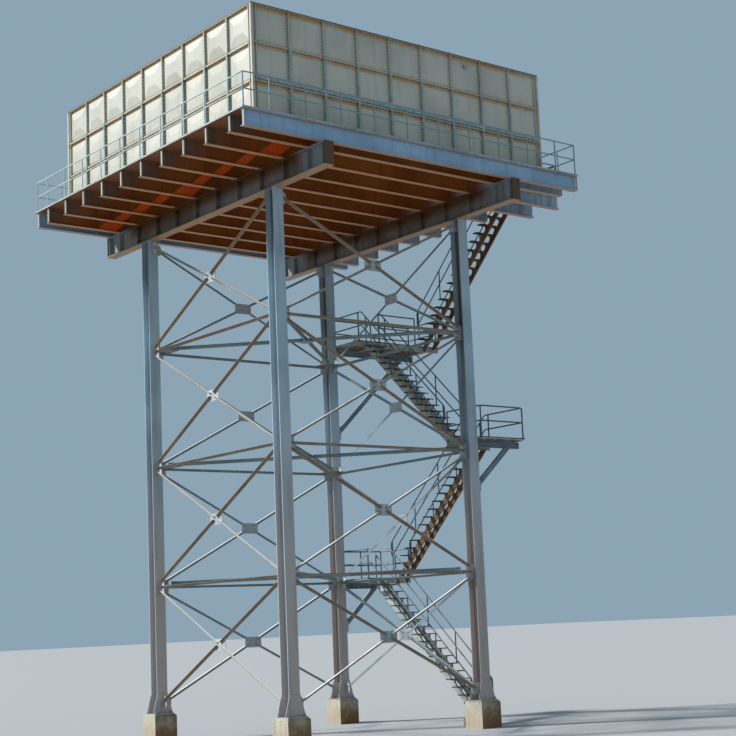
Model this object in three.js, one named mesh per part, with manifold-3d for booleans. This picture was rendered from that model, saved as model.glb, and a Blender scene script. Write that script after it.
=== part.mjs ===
// Water tower: a square sectional steel tank on a braced four-column tower with an outside stair.
// Millimetres, Z up. The front is the -Y side and X runs to the right. The lengths below count
// from the middle of the tank; the finished part is moved so that its origin lies on the ground at
// the middle of its outline.
import * as THREE from 'three';
import { mergeVertices } from 'three/addons/utils/BufferGeometryUtils.js';
import Module from 'manifold-3d';

const wasm = await Module();
wasm.setup();

// Fitting gap between neighbouring parts.
const GAP = 0.3125;

// How far joined pieces of one part reach into each other, and the step that keeps faces apart.
const SINK = 10;
const STEP = 4;

// Tower frame. Its four columns stand a little behind the middle of the tank.
const COLUMN_X = 3590;
const COLUMN_Y = 3640;
const FRAME_MIDDLE_Y = 100;
const COLUMN_WIDTH = 370;
const COLUMN_DEPTH = 390;
const COLUMN_FLANGE = 26;
const COLUMN_WEB = 20;
const PEDESTAL_SIZE = 780;
const PEDESTAL_TOP = 820;
const PEDESTAL_CHAMFER = 40;
const BASE_PLATE = [700, 660, 40];
const SHOE_HEIGHT = 650;
const SHOE_FOOT = 340;
const SHOE_EDGE = 60;
const SHOE_PLATE = 22;
const CAP_PLATE = [430, 450, 30];

// Girders along Y and floor beams along X.
const GIRDER_BOTTOM = 16140;
const GIRDER_TOP = 16830;
const GIRDER_HALF = 6350;
const GIRDER_FLANGE = [340, 30];
const GIRDER_WEB = 24;
const STIFFENER = 18;
const STIFFENER_IN = 15;
const BEAM_TOP = 17330;
const BEAM_HALF = 6370;
const BEAM_FLANGE = [190, 24];
const BEAM_WEB = 18;
const LONG_BEAM_END = 7450;

// Tank: square panels in columns and rows.
const PANEL = 1220;
const PANEL_COLUMNS = 9;
const PANEL_ROWS = 3;
const ROW = 1122;
const TANK_HALF = 5490;
const FLANGE_OUT = 75;
const WALL = 45;
const CORNER_POST = 70;
const TANK_FLOOR = 45;
const SEAM_WIDTH = 26;
const PRESS_MARGIN = 95;
const PRESS_DEPTH = 62;
const ROOF_PLATE = 40;
const ROOF_SEAM = [30, 35];
const ROOF_SEAM_IN = 30;
const HATCH_AT = [3660, -3660];
const HATCH_RIM = [760, 40, 120];
const HATCH_LID = [860, 30];
const HATCH_GRIP = { half: 120, from: 60, thickness: 30, height: 90 };
const VENT_NECK = [240, 260];
const VENT_CAP = [420, 90];

// Walkway and its handrails.
const WALKWAY_EDGE = 6420;
const WALKWAY_EDGE_Y = 6300;
const DECK = 30;
const KERB = 50;
const KERB_PLATE = 14;
const EDGE_BEAM_Y = 6190;
const RAIL_HEIGHT = 1000;
const RAIL_MIDDLE = 520;
const RAIL_SIZE = 48;
const POST_SIZE = 52;
const POST_CAP = 12;
const RAIL_IN = 60;
const GATE_MARGIN = 40;
const TOP_LANDING_RAIL_IN = 50;
const TOP_LANDING_POST = 1100;

// Bracing. A strut is a T of two angles with its legs on top and a diagonal is a single angle.
const LEVELS = [4800, 8600, 12400];
const BRACE_FOOT = 1150;
const BRACE_HEAD = 15950;
const STRUT = { height: 80, legs: 165, stem: 32, wall: 14 };
const DIAGONAL = { leg: 78, wall: 14, cut: 100 };
const DIAGONAL_END = 60;
const DIAGONAL_OFF_STRUT = 155;
const GUSSET_PLATE = 22;
const MIDDLE_GUSSET = [640, 350];
const FLANGE_CLEAR = 20;
const FACE_CLEAR = 40;
const END_GUSSET = { length: 215, half: 240, corner: 65, short: 120 };
const PLAN_BRACE = [110, 110];
const PLAN_PLATE = 14;
const PLAN_PLATE_LENGTH = 630;
const PLAN_MIDDLE = [230, 22];
const PLAN_END_IN = 130;
const NOTCH_CLEAR = 30;

// Stair along Y outside the +X side.
const INNER_LANE = [3810, 4700];
const OUTER_LANE = [4780, 5650];
const TOP_LANE = [6430, 7380];
const LANDING_LEVELS = [4900, 9050, 13200];
const BACK_LANDING_Y = [2250, 3900];
const FRONT_LANDING_Y = [-3900, -2200];
const TOP_LANDING_Y = [-4360, -2060];
const LANDING_X0 = 3800;
const LANDING_X1 = 5670;
const WIDE_LANDING_X1 = 7420;
const LANDING_DECK = 36;
const LANDING_FRAME = { channel: 30, edge: 50, header: 190, sunk: 20 };
const LANDING_JOIST = { width: 60, depth: 94, inset: 160 };
const LANDING_POST_IN = 35;
const FOOTING = [3760, 4790, -3040, -2400, 250];
const FLIGHT_START_Y = -2900;
const TREAD = [215, 32];
const TREAD_START = 30;
const STRING_LEFT_IN = 290;
const STRING_RIGHT_IN = 200;
const STRING_DOWN = 8;
const STRINGER = [193, 36];
const STEM = 80;
const STEM_UP = 4;
const RISER = 244;
const HAND_SIZE = 42;
const HAND_HEIGHTS = [430, 910];
const HAND_END = 70;
const HAND_SPANS = 3;
const BRACKET_BEAM = { width: 90, depth: 205, below: 108 };
const BRACKET_STRUT = [90, 165];
const BRACKET_STRUT_IN = 30;
const BRACKET_STRUT_UP = 40;
const BRACKET_HEEL = { out: 175, down: 200, up: 330 };

const DECK_TOP = BEAM_TOP + GAP + DECK;
const TANK_BOTTOM = BEAM_TOP + GAP;
const WALL_BOTTOM = TANK_BOTTOM + TANK_FLOOR + GAP;
const WALL_TOP = WALL_BOTTOM + PANEL_ROWS * ROW;
const ROOF_BOTTOM = WALL_TOP + GAP;

// The stair side reaches further out than the other, so the outline's middle lies off the columns'.
const SHIFT_X = (WALKWAY_EDGE - LONG_BEAM_END) / 2;

const FINISHES = {
  cream: { color: 0xd9d5c3, roughness: 0.62, metalness: 0 },
  steel: { color: 0x77828c, roughness: 0.55, metalness: 0.1 },
  brace: { color: 0x8a8780, roughness: 0.6, metalness: 0.1 },
  beam: { color: 0x66707a, roughness: 0.6, metalness: 0.1 },
  deck: { color: 0x8d8b84, roughness: 0.65, metalness: 0.1 },
  rail: { color: 0x5c6064, roughness: 0.5, metalness: 0.2 },
  concrete: { color: 0xb3ada0, roughness: 0.9, metalness: 0 },
};

/** Closed three.js geometry to a boolean solid. */
function toSolid(geometry) {
  const bare = geometry.index ? geometry.toNonIndexed() : geometry.clone();
  bare.deleteAttribute('normal');
  bare.deleteAttribute('uv');
  const merged = mergeVertices(bare, 1e-3);
  return new wasm.Manifold(new wasm.Mesh({
    numProp: 3,
    vertProperties: Float32Array.from(merged.attributes.position.array),
    triVerts: Uint32Array.from(merged.index.array),
  }));
}

/** All the solids of a list joined in one. */
function join(solids) {
  let whole = solids[0];
  for (const solid of solids.slice(1)) {
    whole = whole.add(solid);
  }
  return whole;
}

/** A box from its two corners. */
function block(x0, x1, y0, y1, z0, z1) {
  return toSolid(cuboid(x0, x1, y0, y1, z0, z1));
}

/** Box geometry whose corners take the given coordinates exactly. */
function cuboid(x0, x1, y0, y1, z0, z1) {
  const geometry = new THREE.BoxGeometry(2, 2, 2);
  const position = geometry.attributes.position;
  for (let i = 0; i < position.count; i += 1) {
    const x = position.getX(i) < 0 ? x0 : x1;
    const y = position.getY(i) < 0 ? y0 : y1;
    const z = position.getZ(i) < 0 ? z0 : z1;
    position.setXYZ(i, x, y, z);
  }
  return geometry;
}

/** A closed outline pushed a distance along +Z, then placed by a matrix. */
function push(outline, distance, matrix) {
  const shape = new THREE.Shape(outline.map(([x, y]) => new THREE.Vector2(x, y)));
  const geometry = new THREE.ExtrudeGeometry(shape, { depth: distance, bevelEnabled: false });
  geometry.applyMatrix4(matrix);
  return toSolid(geometry);
}

/** The matrix that sets local X, Y and Z on three directions from an origin. */
function placed(origin, xAxis, yAxis, zAxis) {
  const matrix = new THREE.Matrix4().makeBasis(
    new THREE.Vector3(...xAxis),
    new THREE.Vector3(...yAxis),
    new THREE.Vector3(...zAxis),
  );
  matrix.setPosition(...origin);
  return matrix;
}

/** A straight bar of rectangular section between two points; `across` is its width direction. */
function bar(from, to, width, thickness, across) {
  const a = new THREE.Vector3(...from);
  const b = new THREE.Vector3(...to);
  const along = b.clone().sub(a);
  const length = along.length();
  along.normalize();
  const side = new THREE.Vector3(...across);
  side.addScaledVector(along, -side.dot(along)).normalize();
  const up = along.clone().cross(side);
  const w = width / 2;
  const t = thickness / 2;
  const outline = [[-w, -t], [w, -t], [w, t], [-w, t]];
  return push(outline, length, placed(from, side.toArray(), up.toArray(), along.toArray()));
}

/** A straight rail of square section between two points. */
function rail(from, to, size) {
  const across = Math.abs(to[0] - from[0]) > Math.abs(to[1] - from[1]) ? [0, 1, 0] : [1, 0, 0];
  return bar(from, to, size, size, across);
}

/** A straight round-looking tube with six flats between two points. */
function tube(from, to, size) {
  const a = new THREE.Vector3(...from);
  const b = new THREE.Vector3(...to);
  const along = b.clone().sub(a);
  const length = along.length();
  along.normalize();
  const guide = Math.abs(along.z) > 0.9 ? [1, 0, 0] : [0, 0, 1];
  const side = new THREE.Vector3(...guide);
  side.addScaledVector(along, -side.dot(along)).normalize();
  const up = along.clone().cross(side);
  const outline = [];
  for (let i = 0; i < 6; i += 1) {
    const angle = (i * Math.PI) / 3;
    outline.push([(size / 2) * Math.cos(angle), (size / 2) * Math.sin(angle)]);
  }
  return push(outline, length, placed(from, side.toArray(), up.toArray(), along.toArray()));
}

/** Outline of an I shape, flanges above and below. */
function beamOutline(flangeWidth, flangeThickness, web, depth) {
  const f = flangeWidth / 2;
  const w = web / 2;
  const h = depth / 2;
  const t = h - flangeThickness;
  return [
    [-f, -h], [f, -h], [f, -t], [w, -t], [w, t], [f, t],
    [f, h], [-f, h], [-f, t], [-w, t], [-w, -t], [-f, -t],
  ];
}

const group = new THREE.Group();
group.name = 'water_tower';

/** Adds one solid to the assembly under its own name and with its own material. */
function addPart(name, solid, finish) {
  const mesh = solid.getMesh();
  const geometry = new THREE.BufferGeometry();
  const positions = Float32Array.from(mesh.vertProperties);
  geometry.setAttribute('position', new THREE.BufferAttribute(positions, 3));
  geometry.setIndex(new THREE.BufferAttribute(Uint32Array.from(mesh.triVerts), 1));
  geometry.translate(SHIFT_X, 0, 0);
  geometry.computeVertexNormals();
  const material = new THREE.MeshStandardMaterial(finish);
  const part = new THREE.Mesh(geometry, material);
  part.name = name;
  group.add(part);
}

const CORNERS = [
  ['front_left', -1, -1],
  ['front_right', 1, -1],
  ['back_right', 1, 1],
  ['back_left', -1, 1],
];

/** Middle of a column in plan. */
function columnPlace(sx, sy) {
  return [sx * COLUMN_X, FRAME_MIDDLE_Y + sy * COLUMN_Y];
}

/** Square concrete pedestal with a chamfered top edge. */
function pedestal(sx, sy) {
  const [x, y] = columnPlace(sx, sy);
  const h = PEDESTAL_SIZE / 2;
  const c = PEDESTAL_CHAMFER;
  const foot = block(x - h, x + h, y - h, y + h, 0, PEDESTAL_TOP - c);
  const shape = [[-h, 0], [h, 0], [h - c, c], [-h + c, c]];
  const alongY = placed([x, y + h, PEDESTAL_TOP - c], [1, 0, 0], [0, 0, 1], [0, -1, 0]);
  const alongX = placed([x - h, y, PEDESTAL_TOP - c], [0, 1, 0], [0, 0, 1], [1, 0, 0]);
  const top = push(shape, PEDESTAL_SIZE, alongY).intersect(push(shape, PEDESTAL_SIZE, alongX));
  return foot.add(top);
}

/** H column with base plate, flared shoe plates and cap plate. */
function column(sx, sy) {
  const [x, y] = columnPlace(sx, sy);
  const z0 = PEDESTAL_TOP + GAP;
  const z1 = GIRDER_BOTTOM - GAP;
  const [bx, by, bz] = BASE_PLATE;
  const [cx, cy, cz] = CAP_PLATE;
  const outline = beamOutline(COLUMN_WIDTH, COLUMN_FLANGE, COLUMN_WEB, COLUMN_DEPTH);
  const shaft = push(outline, z1 - z0, placed([x, y, z0], [1, 0, 0], [0, 1, 0], [0, 0, 1]));
  const solids = [
    shaft,
    block(x - bx / 2, x + bx / 2, y - by / 2, y + by / 2, z0, z0 + bz),
    block(x - cx / 2, x + cx / 2, y - cy / 2, y + cy / 2, z1 - cz, z1),
  ];
  const half = COLUMN_WIDTH / 2;
  const shoe = [
    [-SHOE_FOOT, 0], [SHOE_FOOT, 0], [SHOE_FOOT, SHOE_EDGE],
    [half, SHOE_HEIGHT], [-half, SHOE_HEIGHT], [-SHOE_FOOT, SHOE_EDGE],
  ];
  for (const side of [-1, 1]) {
    const face = y + side * (COLUMN_DEPTH / 2);
    const start = side > 0 ? face + SHOE_PLATE : face;
    solids.push(push(shoe, SHOE_PLATE, placed([x, start, z0], [1, 0, 0], [0, 0, 1], [0, -1, 0])));
  }
  return join(solids);
}

/** Deep plate girder along Y with web stiffeners under the floor beams. */
function girder(sx) {
  const depth = GIRDER_TOP - GIRDER_BOTTOM;
  const [fw, ft] = GIRDER_FLANGE;
  const middle = (GIRDER_TOP + GIRDER_BOTTOM) / 2;
  const outline = beamOutline(fw, ft, GIRDER_WEB, depth);
  const x = sx * COLUMN_X;
  const matrix = placed([x, GIRDER_HALF, middle], [1, 0, 0], [0, 0, 1], [0, -1, 0]);
  const solids = [push(outline, GIRDER_HALF * 2, matrix)];
  const t = STIFFENER / 2;
  const w = fw / 2 - STIFFENER_IN;
  for (const y of [...beamRows().map((row) => row.y), -GIRDER_HALF + t, GIRDER_HALF - t]) {
    solids.push(block(x - w, x + w, y - t, y + t, GIRDER_BOTTOM + SINK, GIRDER_TOP - SINK));
  }
  return join(solids);
}

/** The rows of floor beams: one under each tank seam and one along each walkway edge. */
function beamRows() {
  const rows = [{ name: 'edge_beam_front', y: -EDGE_BEAM_Y, end: BEAM_HALF }];
  for (let i = 0; i <= PANEL_COLUMNS; i += 1) {
    const number = String(i + 1).padStart(2, '0');
    const end = i === 1 || i === 2 ? LONG_BEAM_END : BEAM_HALF;
    rows.push({ name: `floor_beam_${number}`, y: -TANK_HALF + i * PANEL, end });
  }
  rows.push({ name: 'edge_beam_back', y: EDGE_BEAM_Y, end: BEAM_HALF });
  return rows;
}

/** One floor beam along X. */
function floorBeam(y, end) {
  const depth = BEAM_TOP - GIRDER_TOP - GAP;
  const [fw, ft] = BEAM_FLANGE;
  const outline = beamOutline(fw, ft, BEAM_WEB, depth);
  const middle = BEAM_TOP - depth / 2;
  const matrix = placed([-BEAM_HALF, y, middle], [0, 1, 0], [0, 0, 1], [1, 0, 0]);
  return push(outline, end + BEAM_HALF, matrix);
}

/** A low pyramid pressed outward from a panel, standing on the wall plane and sunk into it. */
function pressing(u0, v0) {
  const m = PRESS_MARGIN;
  const low = [
    [u0 + m, v0 + m], [u0 + PANEL - m, v0 + m], [u0 + PANEL - m, v0 + ROW - m], [u0 + m, v0 + ROW - m],
  ];
  const points = [];
  for (const [u, v] of low) {
    points.push(u, v, -SINK);
  }
  for (const [u, v] of low) {
    points.push(u, v, 0);
  }
  points.push(u0 + PANEL / 2, v0 + ROW / 2, PRESS_DEPTH);
  const faces = [0, 2, 1, 0, 3, 2];
  for (let i = 0; i < 4; i += 1) {
    const j = (i + 1) % 4;
    faces.push(i, j, 4 + j, i, 4 + j, 4 + i);
    faces.push(4 + i, 4 + j, 8);
  }
  const geometry = new THREE.BufferGeometry();
  geometry.setAttribute('position', new THREE.BufferAttribute(Float32Array.from(points), 3));
  geometry.setIndex(faces);
  return geometry;
}

/** One tank wall; local u runs along the wall, v up and w outward. */
function tankWall(matrix, halfLength, cornerPosts) {
  const height = PANEL_ROWS * ROW;
  const solids = [];
  const put = (u0, u1, v0, v1, w0, w1) => {
    const geometry = cuboid(u0, u1, v0, v1, w0, w1);
    geometry.applyMatrix4(matrix);
    solids.push(toSolid(geometry));
  };
  put(-halfLength, halfLength, 0, height, -WALL, 0);
  for (let row = 0; row <= PANEL_ROWS; row += 1) {
    const v0 = Math.max(0, row * ROW - SEAM_WIDTH / 2);
    const v1 = Math.min(height, row * ROW + SEAM_WIDTH / 2);
    put(-halfLength, halfLength, v0, v1, -SINK, FLANGE_OUT);
  }
  for (let i = 1; i < PANEL_COLUMNS; i += 1) {
    const u = -TANK_HALF + i * PANEL;
    put(u - SEAM_WIDTH / 2, u + SEAM_WIDTH / 2, 0, height, -SINK, FLANGE_OUT - STEP);
  }
  if (cornerPosts) {
    put(-TANK_HALF - FLANGE_OUT, -TANK_HALF + CORNER_POST, 0, height, -CORNER_POST, FLANGE_OUT);
    put(TANK_HALF - CORNER_POST, TANK_HALF + FLANGE_OUT, 0, height, -CORNER_POST, FLANGE_OUT);
  }
  for (let i = 0; i < PANEL_COLUMNS; i += 1) {
    for (let row = 0; row < PANEL_ROWS; row += 1) {
      const geometry = pressing(-TANK_HALF + i * PANEL, row * ROW);
      geometry.applyMatrix4(matrix);
      solids.push(toSolid(geometry));
    }
  }
  return join(solids);
}

/** Adds the four walls, the floor, the roof and the roof hatch. */
function addTank() {
  const z = WALL_BOTTOM;
  const up = [0, 0, 1];
  const front = placed([0, -TANK_HALF, z], [1, 0, 0], up, [0, -1, 0]);
  const back = placed([0, TANK_HALF, z], [-1, 0, 0], up, [0, 1, 0]);
  const left = placed([-TANK_HALF, 0, z], [0, -1, 0], up, [-1, 0, 0]);
  const right = placed([TANK_HALF, 0, z], [0, 1, 0], up, [1, 0, 0]);
  const shorter = TANK_HALF - CORNER_POST - GAP;
  addPart('tank_wall_front', tankWall(front, TANK_HALF, true), FINISHES.cream);
  addPart('tank_wall_back', tankWall(back, TANK_HALF, true), FINISHES.cream);
  addPart('tank_wall_left', tankWall(left, shorter, false), FINISHES.cream);
  addPart('tank_wall_right', tankWall(right, shorter, false), FINISHES.cream);
  const edge = TANK_HALF + FLANGE_OUT;
  const floor = block(-edge, edge, -edge, edge, TANK_BOTTOM, TANK_BOTTOM + TANK_FLOOR);
  addPart('tank_floor', floor, FINISHES.beam);
  addPart('tank_roof', tankRoof(edge), FINISHES.cream);
  addPart('roof_hatch', roofHatch(), FINISHES.steel);
}

/** Flat roof of plates with standing seams, a hatch opening and a mushroom vent. */
function tankRoof(edge) {
  const z0 = ROOF_BOTTOM;
  const z1 = z0 + ROOF_PLATE;
  const solids = [block(-edge, edge, -edge, edge, z0, z1)];
  const [seamWidth, seamHeight] = ROOF_SEAM;
  for (let i = 1; i < PANEL_COLUMNS; i += 1) {
    const u = -TANK_HALF + i * PANEL;
    const w = seamWidth / 2;
    const seamEnd = edge - ROOF_SEAM_IN;
    solids.push(block(u - w, u + w, -seamEnd, seamEnd, z1 - SINK, z1 + seamHeight));
  }
  const [neck, neckHeight] = VENT_NECK;
  const [cap, capHeight] = VENT_CAP;
  const capBottom = z1 + neckHeight - SINK;
  solids.push(tube([0, 0, z1 - SINK], [0, 0, z1 + neckHeight], neck));
  solids.push(tube([0, 0, capBottom], [0, 0, capBottom + capHeight], cap));
  const [hx, hy] = HATCH_AT;
  const [rimWidth, rimPlate, rimHeight] = HATCH_RIM;
  const r = rimWidth / 2;
  const i = r - rimPlate;
  const rim = block(hx - r, hx + r, hy - r, hy + r, z1 - SINK, z1 + rimHeight);
  const hole = block(hx - i, hx + i, hy - i, hy + i, z0 - SINK, z1 + rimHeight + SINK);
  return join([...solids, rim]).subtract(hole);
}

/** Lid of the roof hatch, resting on its rim. */
function roofHatch() {
  const [hx, hy] = HATCH_AT;
  const z = ROOF_BOTTOM + ROOF_PLATE + HATCH_RIM[2] + GAP;
  const [width, thickness] = HATCH_LID;
  const r = width / 2;
  const lid = block(hx - r, hx + r, hy - r, hy + r, z, z + thickness);
  const { half, from, thickness: plate, height } = HATCH_GRIP;
  const y = hy - r + from;
  const grip = block(hx - half, hx + half, y, y + plate, z + SINK, z + height);
  return lid.add(grip);
}

/** One side of the walkway: deck plate with an upright edge plate. */
function walkway(x0, x1, y0, y1, kerbs) {
  const z0 = BEAM_TOP + GAP;
  const solids = [block(x0, x1, y0, y1, z0, z0 + DECK)];
  for (const [kx0, kx1, ky0, ky1] of kerbs) {
    solids.push(block(kx0, kx1, ky0, ky1, z0, z0 + KERB));
  }
  return join(solids);
}

/** Adds the four walkway sides round the tank. */
function addWalkway() {
  const inner = TANK_HALF + FLANGE_OUT + GAP;
  const ex = WALKWAY_EDGE;
  const ey = WALKWAY_EDGE_Y;
  const k = KERB_PLATE;
  const front = walkway(-ex, ex, -ey, -inner, [
    [-ex, ex, -ey, -ey + k],
    [-ex, -ex + k, -ey, -inner],
    [ex - k, ex, -ey, -inner],
  ]);
  const back = walkway(-ex, ex, inner, ey, [
    [-ex, ex, ey - k, ey],
    [-ex, -ex + k, inner, ey],
    [ex - k, ex, inner, ey],
  ]);
  const end = inner - GAP;
  const left = walkway(-ex, -inner, -end, end, [[-ex, -ex + k, -end, end]]);
  const right = walkway(inner, ex, -end, end, [
    [ex - k, ex, -end, TOP_LANDING_Y[0]],
    [ex - k, ex, TOP_LANDING_Y[1], end],
  ]);
  addPart('walkway_front', front, FINISHES.deck);
  addPart('walkway_back', back, FINISHES.deck);
  addPart('walkway_left', left, FINISHES.deck);
  addPart('walkway_right', right, FINISHES.deck);
}

/** A straight guard rail with posts between two points of a deck. */
function guardRail(from, to, base, posts, closedEnds) {
  const [x0, y0] = from;
  const [x1, y1] = to;
  const length = Math.hypot(x1 - x0, y1 - y0);
  const at = (s) => [x0 + ((x1 - x0) * s) / length, y0 + ((y1 - y0) * s) / length];
  const solids = [];
  for (const height of [RAIL_MIDDLE, RAIL_HEIGHT]) {
    solids.push(rail([x0, y0, base + height], [x1, y1, base + height], RAIL_SIZE));
  }
  const p = POST_SIZE / 2;
  for (const s of posts) {
    const [x, y] = at(s);
    solids.push(block(x - p, x + p, y - p, y + p, base, base + RAIL_HEIGHT + POST_CAP));
  }
  for (const s of closedEnds) {
    const [x, y] = at(s);
    solids.push(block(x - p, x + p, y - p, y + p, base, base + RAIL_HEIGHT + 2 * POST_CAP));
  }
  return join(solids);
}

/** Distances of posts along a side that follow the tank seams. */
function seamPosts(start, first, last) {
  const posts = [];
  for (let i = first; i <= last; i += 1) {
    posts.push(-TANK_HALF + i * PANEL - start);
  }
  return posts;
}

/** Adds the guard rails of the walkway. */
function addRails() {
  const base = BEAM_TOP + GAP + DECK + GAP;
  const rx = WALKWAY_EDGE - RAIL_IN;
  const ry = WALKWAY_EDGE_Y - RAIL_IN;
  const full = seamPosts(-rx, 0, PANEL_COLUMNS);
  addPart('rail_front', guardRail([-rx, -ry], [rx, -ry], base, full, [0, 2 * rx]), FINISHES.rail);
  addPart('rail_back', guardRail([-rx, ry], [rx, ry], base, full, [0, 2 * rx]), FINISHES.rail);
  const cut = ry - POST_SIZE / 2 - GAP;
  const sidePosts = seamPosts(-cut, 0, PANEL_COLUMNS);
  addPart('rail_left', guardRail([-rx, -cut], [-rx, cut], base, sidePosts, []), FINISHES.rail);
  const [t0, t1] = TOP_LANDING_Y;
  const gate = t0 - GATE_MARGIN;
  const frontPosts = seamPosts(-cut, 0, 0);
  const rightFront = guardRail([rx, -cut], [rx, gate], base, frontPosts, [gate + cut]);
  addPart('rail_right_front', rightFront, FINISHES.rail);
  const restart = t1 + GATE_MARGIN;
  const rightPosts = seamPosts(restart, 4, PANEL_COLUMNS);
  addPart('rail_right_back', guardRail([rx, restart], [rx, cut], base, rightPosts, [0]), FINISHES.rail);
}

/** A section between two points of a tower side; its outline counts outward and upward. */
function member(from, to, outward, outline) {
  const a = new THREE.Vector3(...from);
  const b = new THREE.Vector3(...to);
  const along = b.clone().sub(a).normalize();
  const up = along.clone().cross(new THREE.Vector3(...outward));
  const turn = Math.sign(up.z);
  along.multiplyScalar(turn);
  up.multiplyScalar(turn);
  const start = turn > 0 ? from : to;
  return push(outline, a.distanceTo(b), placed(start, outward, up.toArray(), along.toArray()));
}

/** Outline of a strut: a stem below two level legs. */
function strutOutline() {
  const { height, legs, stem, wall } = STRUT;
  const h = height / 2;
  const f = legs / 2;
  const s = stem / 2;
  return [[-s, -h], [s, -h], [s, h - wall], [f, h - wall], [f, h], [-f, h], [-f, h - wall], [-s, h - wall]];
}

/** Outline of a diagonal: one leg on the outer face of the gussets, the other standing outward. */
function diagonalOutline() {
  const { leg, wall } = DIAGONAL;
  const h = leg / 2;
  const face = GUSSET_PLATE / 2 - STEP;
  const end = face + leg;
  return [[face, -h], [face + wall, -h], [face + wall, h - wall], [end, h - wall], [end, h], [face, h]];
}

/** X bracing and struts of one tower side; u runs along the side, w across it. */
function sideFrame(toWorld, outward, reach, footReach, clear) {
  const heights = [BRACE_FOOT, ...LEVELS, BRACE_HEAD];
  const solids = [];
  for (const z of LEVELS) {
    solids.push(member(toWorld(-clear, 0, z), toWorld(clear, 0, z), outward, strutOutline()));
  }
  for (let tier = 0; tier < heights.length - 1; tier += 1) {
    const isLowest = tier === 0;
    const isHighest = tier === heights.length - 2;
    const low = heights[tier] + (isLowest ? DIAGONAL_END : DIAGONAL_OFF_STRUT);
    const high = heights[tier + 1] - (isHighest ? DIAGONAL_END : DIAGONAL_OFF_STRUT);
    const u = clear - DIAGONAL_END;
    const middle = (low + high) / 2;
    const rest = DIAGONAL.cut / Math.hypot(u, high - middle);
    for (const side of [-1, 1]) {
      for (const z of [low, high]) {
        const inner = toWorld(side * u * rest, 0, middle + (z - middle) * rest);
        solids.push(member(inner, toWorld(side * u, 0, z), outward, diagonalOutline()));
      }
    }
    solids.push(plate(toWorld, middleGusset(middle)));
  }
  for (const z of heights) {
    const isFoot = z === BRACE_FOOT;
    const isHead = z === BRACE_HEAD;
    for (const side of [-1, 1]) {
      const edge = isFoot ? footReach : reach;
      solids.push(plate(toWorld, endGusset(side, z, edge, clear, isFoot, isHead)));
    }
  }
  return join(solids);
}

/** Outline of the gusset where two diagonals cross. */
function middleGusset(z) {
  const [w, h] = MIDDLE_GUSSET;
  const a = w / 2;
  const b = h / 2;
  return [[-a, z - b], [a, z - b], [a, z + b], [-a, z + b]];
}

/** Outline of the gusset that ties a node to its column; its two free corners are cut off. */
function endGusset(side, z, reach, clear, isFoot, isHead) {
  const { length, half, corner, short } = END_GUSSET;
  const low = z - (isFoot ? short : half);
  const high = z + (isHead ? short : half);
  const inner = clear - length;
  const points = [
    [reach, low], [reach, high], [inner + corner, high],
    [inner, high - corner], [inner, low + corner], [inner + corner, low],
  ];
  const list = points.map(([u, v]) => [side * u, v]);
  return side > 0 ? list : list.reverse();
}

/** A thin plate in the plane of a tower side from an outline in u and z. */
function plate(toWorld, outline) {
  const half = GUSSET_PLATE / 2;
  const o = toWorld(0, half, 0);
  const base = toWorld(0, 0, 0);
  const u = toWorld(1, 0, 0).map((v, i) => v - base[i]);
  const w = toWorld(0, 1, 0).map((v, i) => v - base[i]);
  const outward = new THREE.Vector3(...u).cross(new THREE.Vector3(0, 0, 1));
  const flip = outward.dot(new THREE.Vector3(...w)) > 0 ? 1 : -1;
  const start = flip > 0 ? toWorld(0, -half, 0) : o;
  return push(outline, GUSSET_PLATE, placed(start, u, [0, 0, 1], outward.toArray()));
}

/** Adds the four side frames and the three plan braces. */
function addBracing() {
  const web = COLUMN_X - COLUMN_WEB / 2 - GAP;
  const flangeEdge = COLUMN_X - COLUMN_WIDTH / 2 - FLANGE_CLEAR;
  const flangeFace = COLUMN_Y - COLUMN_DEPTH / 2 - GAP;
  const shoeFace = flangeFace - SHOE_PLATE;
  for (const [name, side] of [['front', -1], ['back', 1]]) {
    const toWorld = (u, w, z) => [u, FRAME_MIDDLE_Y + side * COLUMN_Y + w, z];
    const frame = sideFrame(toWorld, [0, side, 0], web, web, flangeEdge);
    addPart(`bracing_${name}`, frame, FINISHES.brace);
  }
  const clear = flangeFace - FACE_CLEAR;
  for (const [name, side] of [['left', -1], ['right', 1]]) {
    const toWorld = (u, w, z) => [side * COLUMN_X + w, FRAME_MIDDLE_Y + u, z];
    const frame = sideFrame(toWorld, [side, 0, 0], flangeFace, shoeFace, clear);
    addPart(`bracing_${name}`, frame, FINISHES.brace);
  }
  for (let i = 0; i < LEVELS.length; i += 1) {
    addPart(`plan_brace_${i + 1}`, planBrace(LEVELS[i]), FINISHES.brace);
  }
}

/** Level cross between opposite corners; its corner plates are seated on the struts. */
function planBrace(level) {
  const [w, t] = PLAN_BRACE;
  const seat = level + STRUT.height / 2 + GAP;
  const z = seat + t / 2;
  const end = COLUMN_X - COLUMN_WIDTH / 2 - PLAN_END_IN;
  const m = FRAME_MIDDLE_Y;
  const [half, thick] = PLAN_MIDDLE;
  const solids = [
    bar([-end, m - end, z], [end, m + end, z], w, t, [1, -1, 0]),
    bar([-end, m + end, z], [end, m - end, z], w, t - STEP, [1, 1, 0]),
    block(-half, half, m - half, m + half, z - thick / 2, z + thick / 2),
  ];
  for (const [, sx, sy] of CORNERS) {
    solids.push(cornerPlate(sx, sy, seat));
  }
  return join(solids);
}

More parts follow.
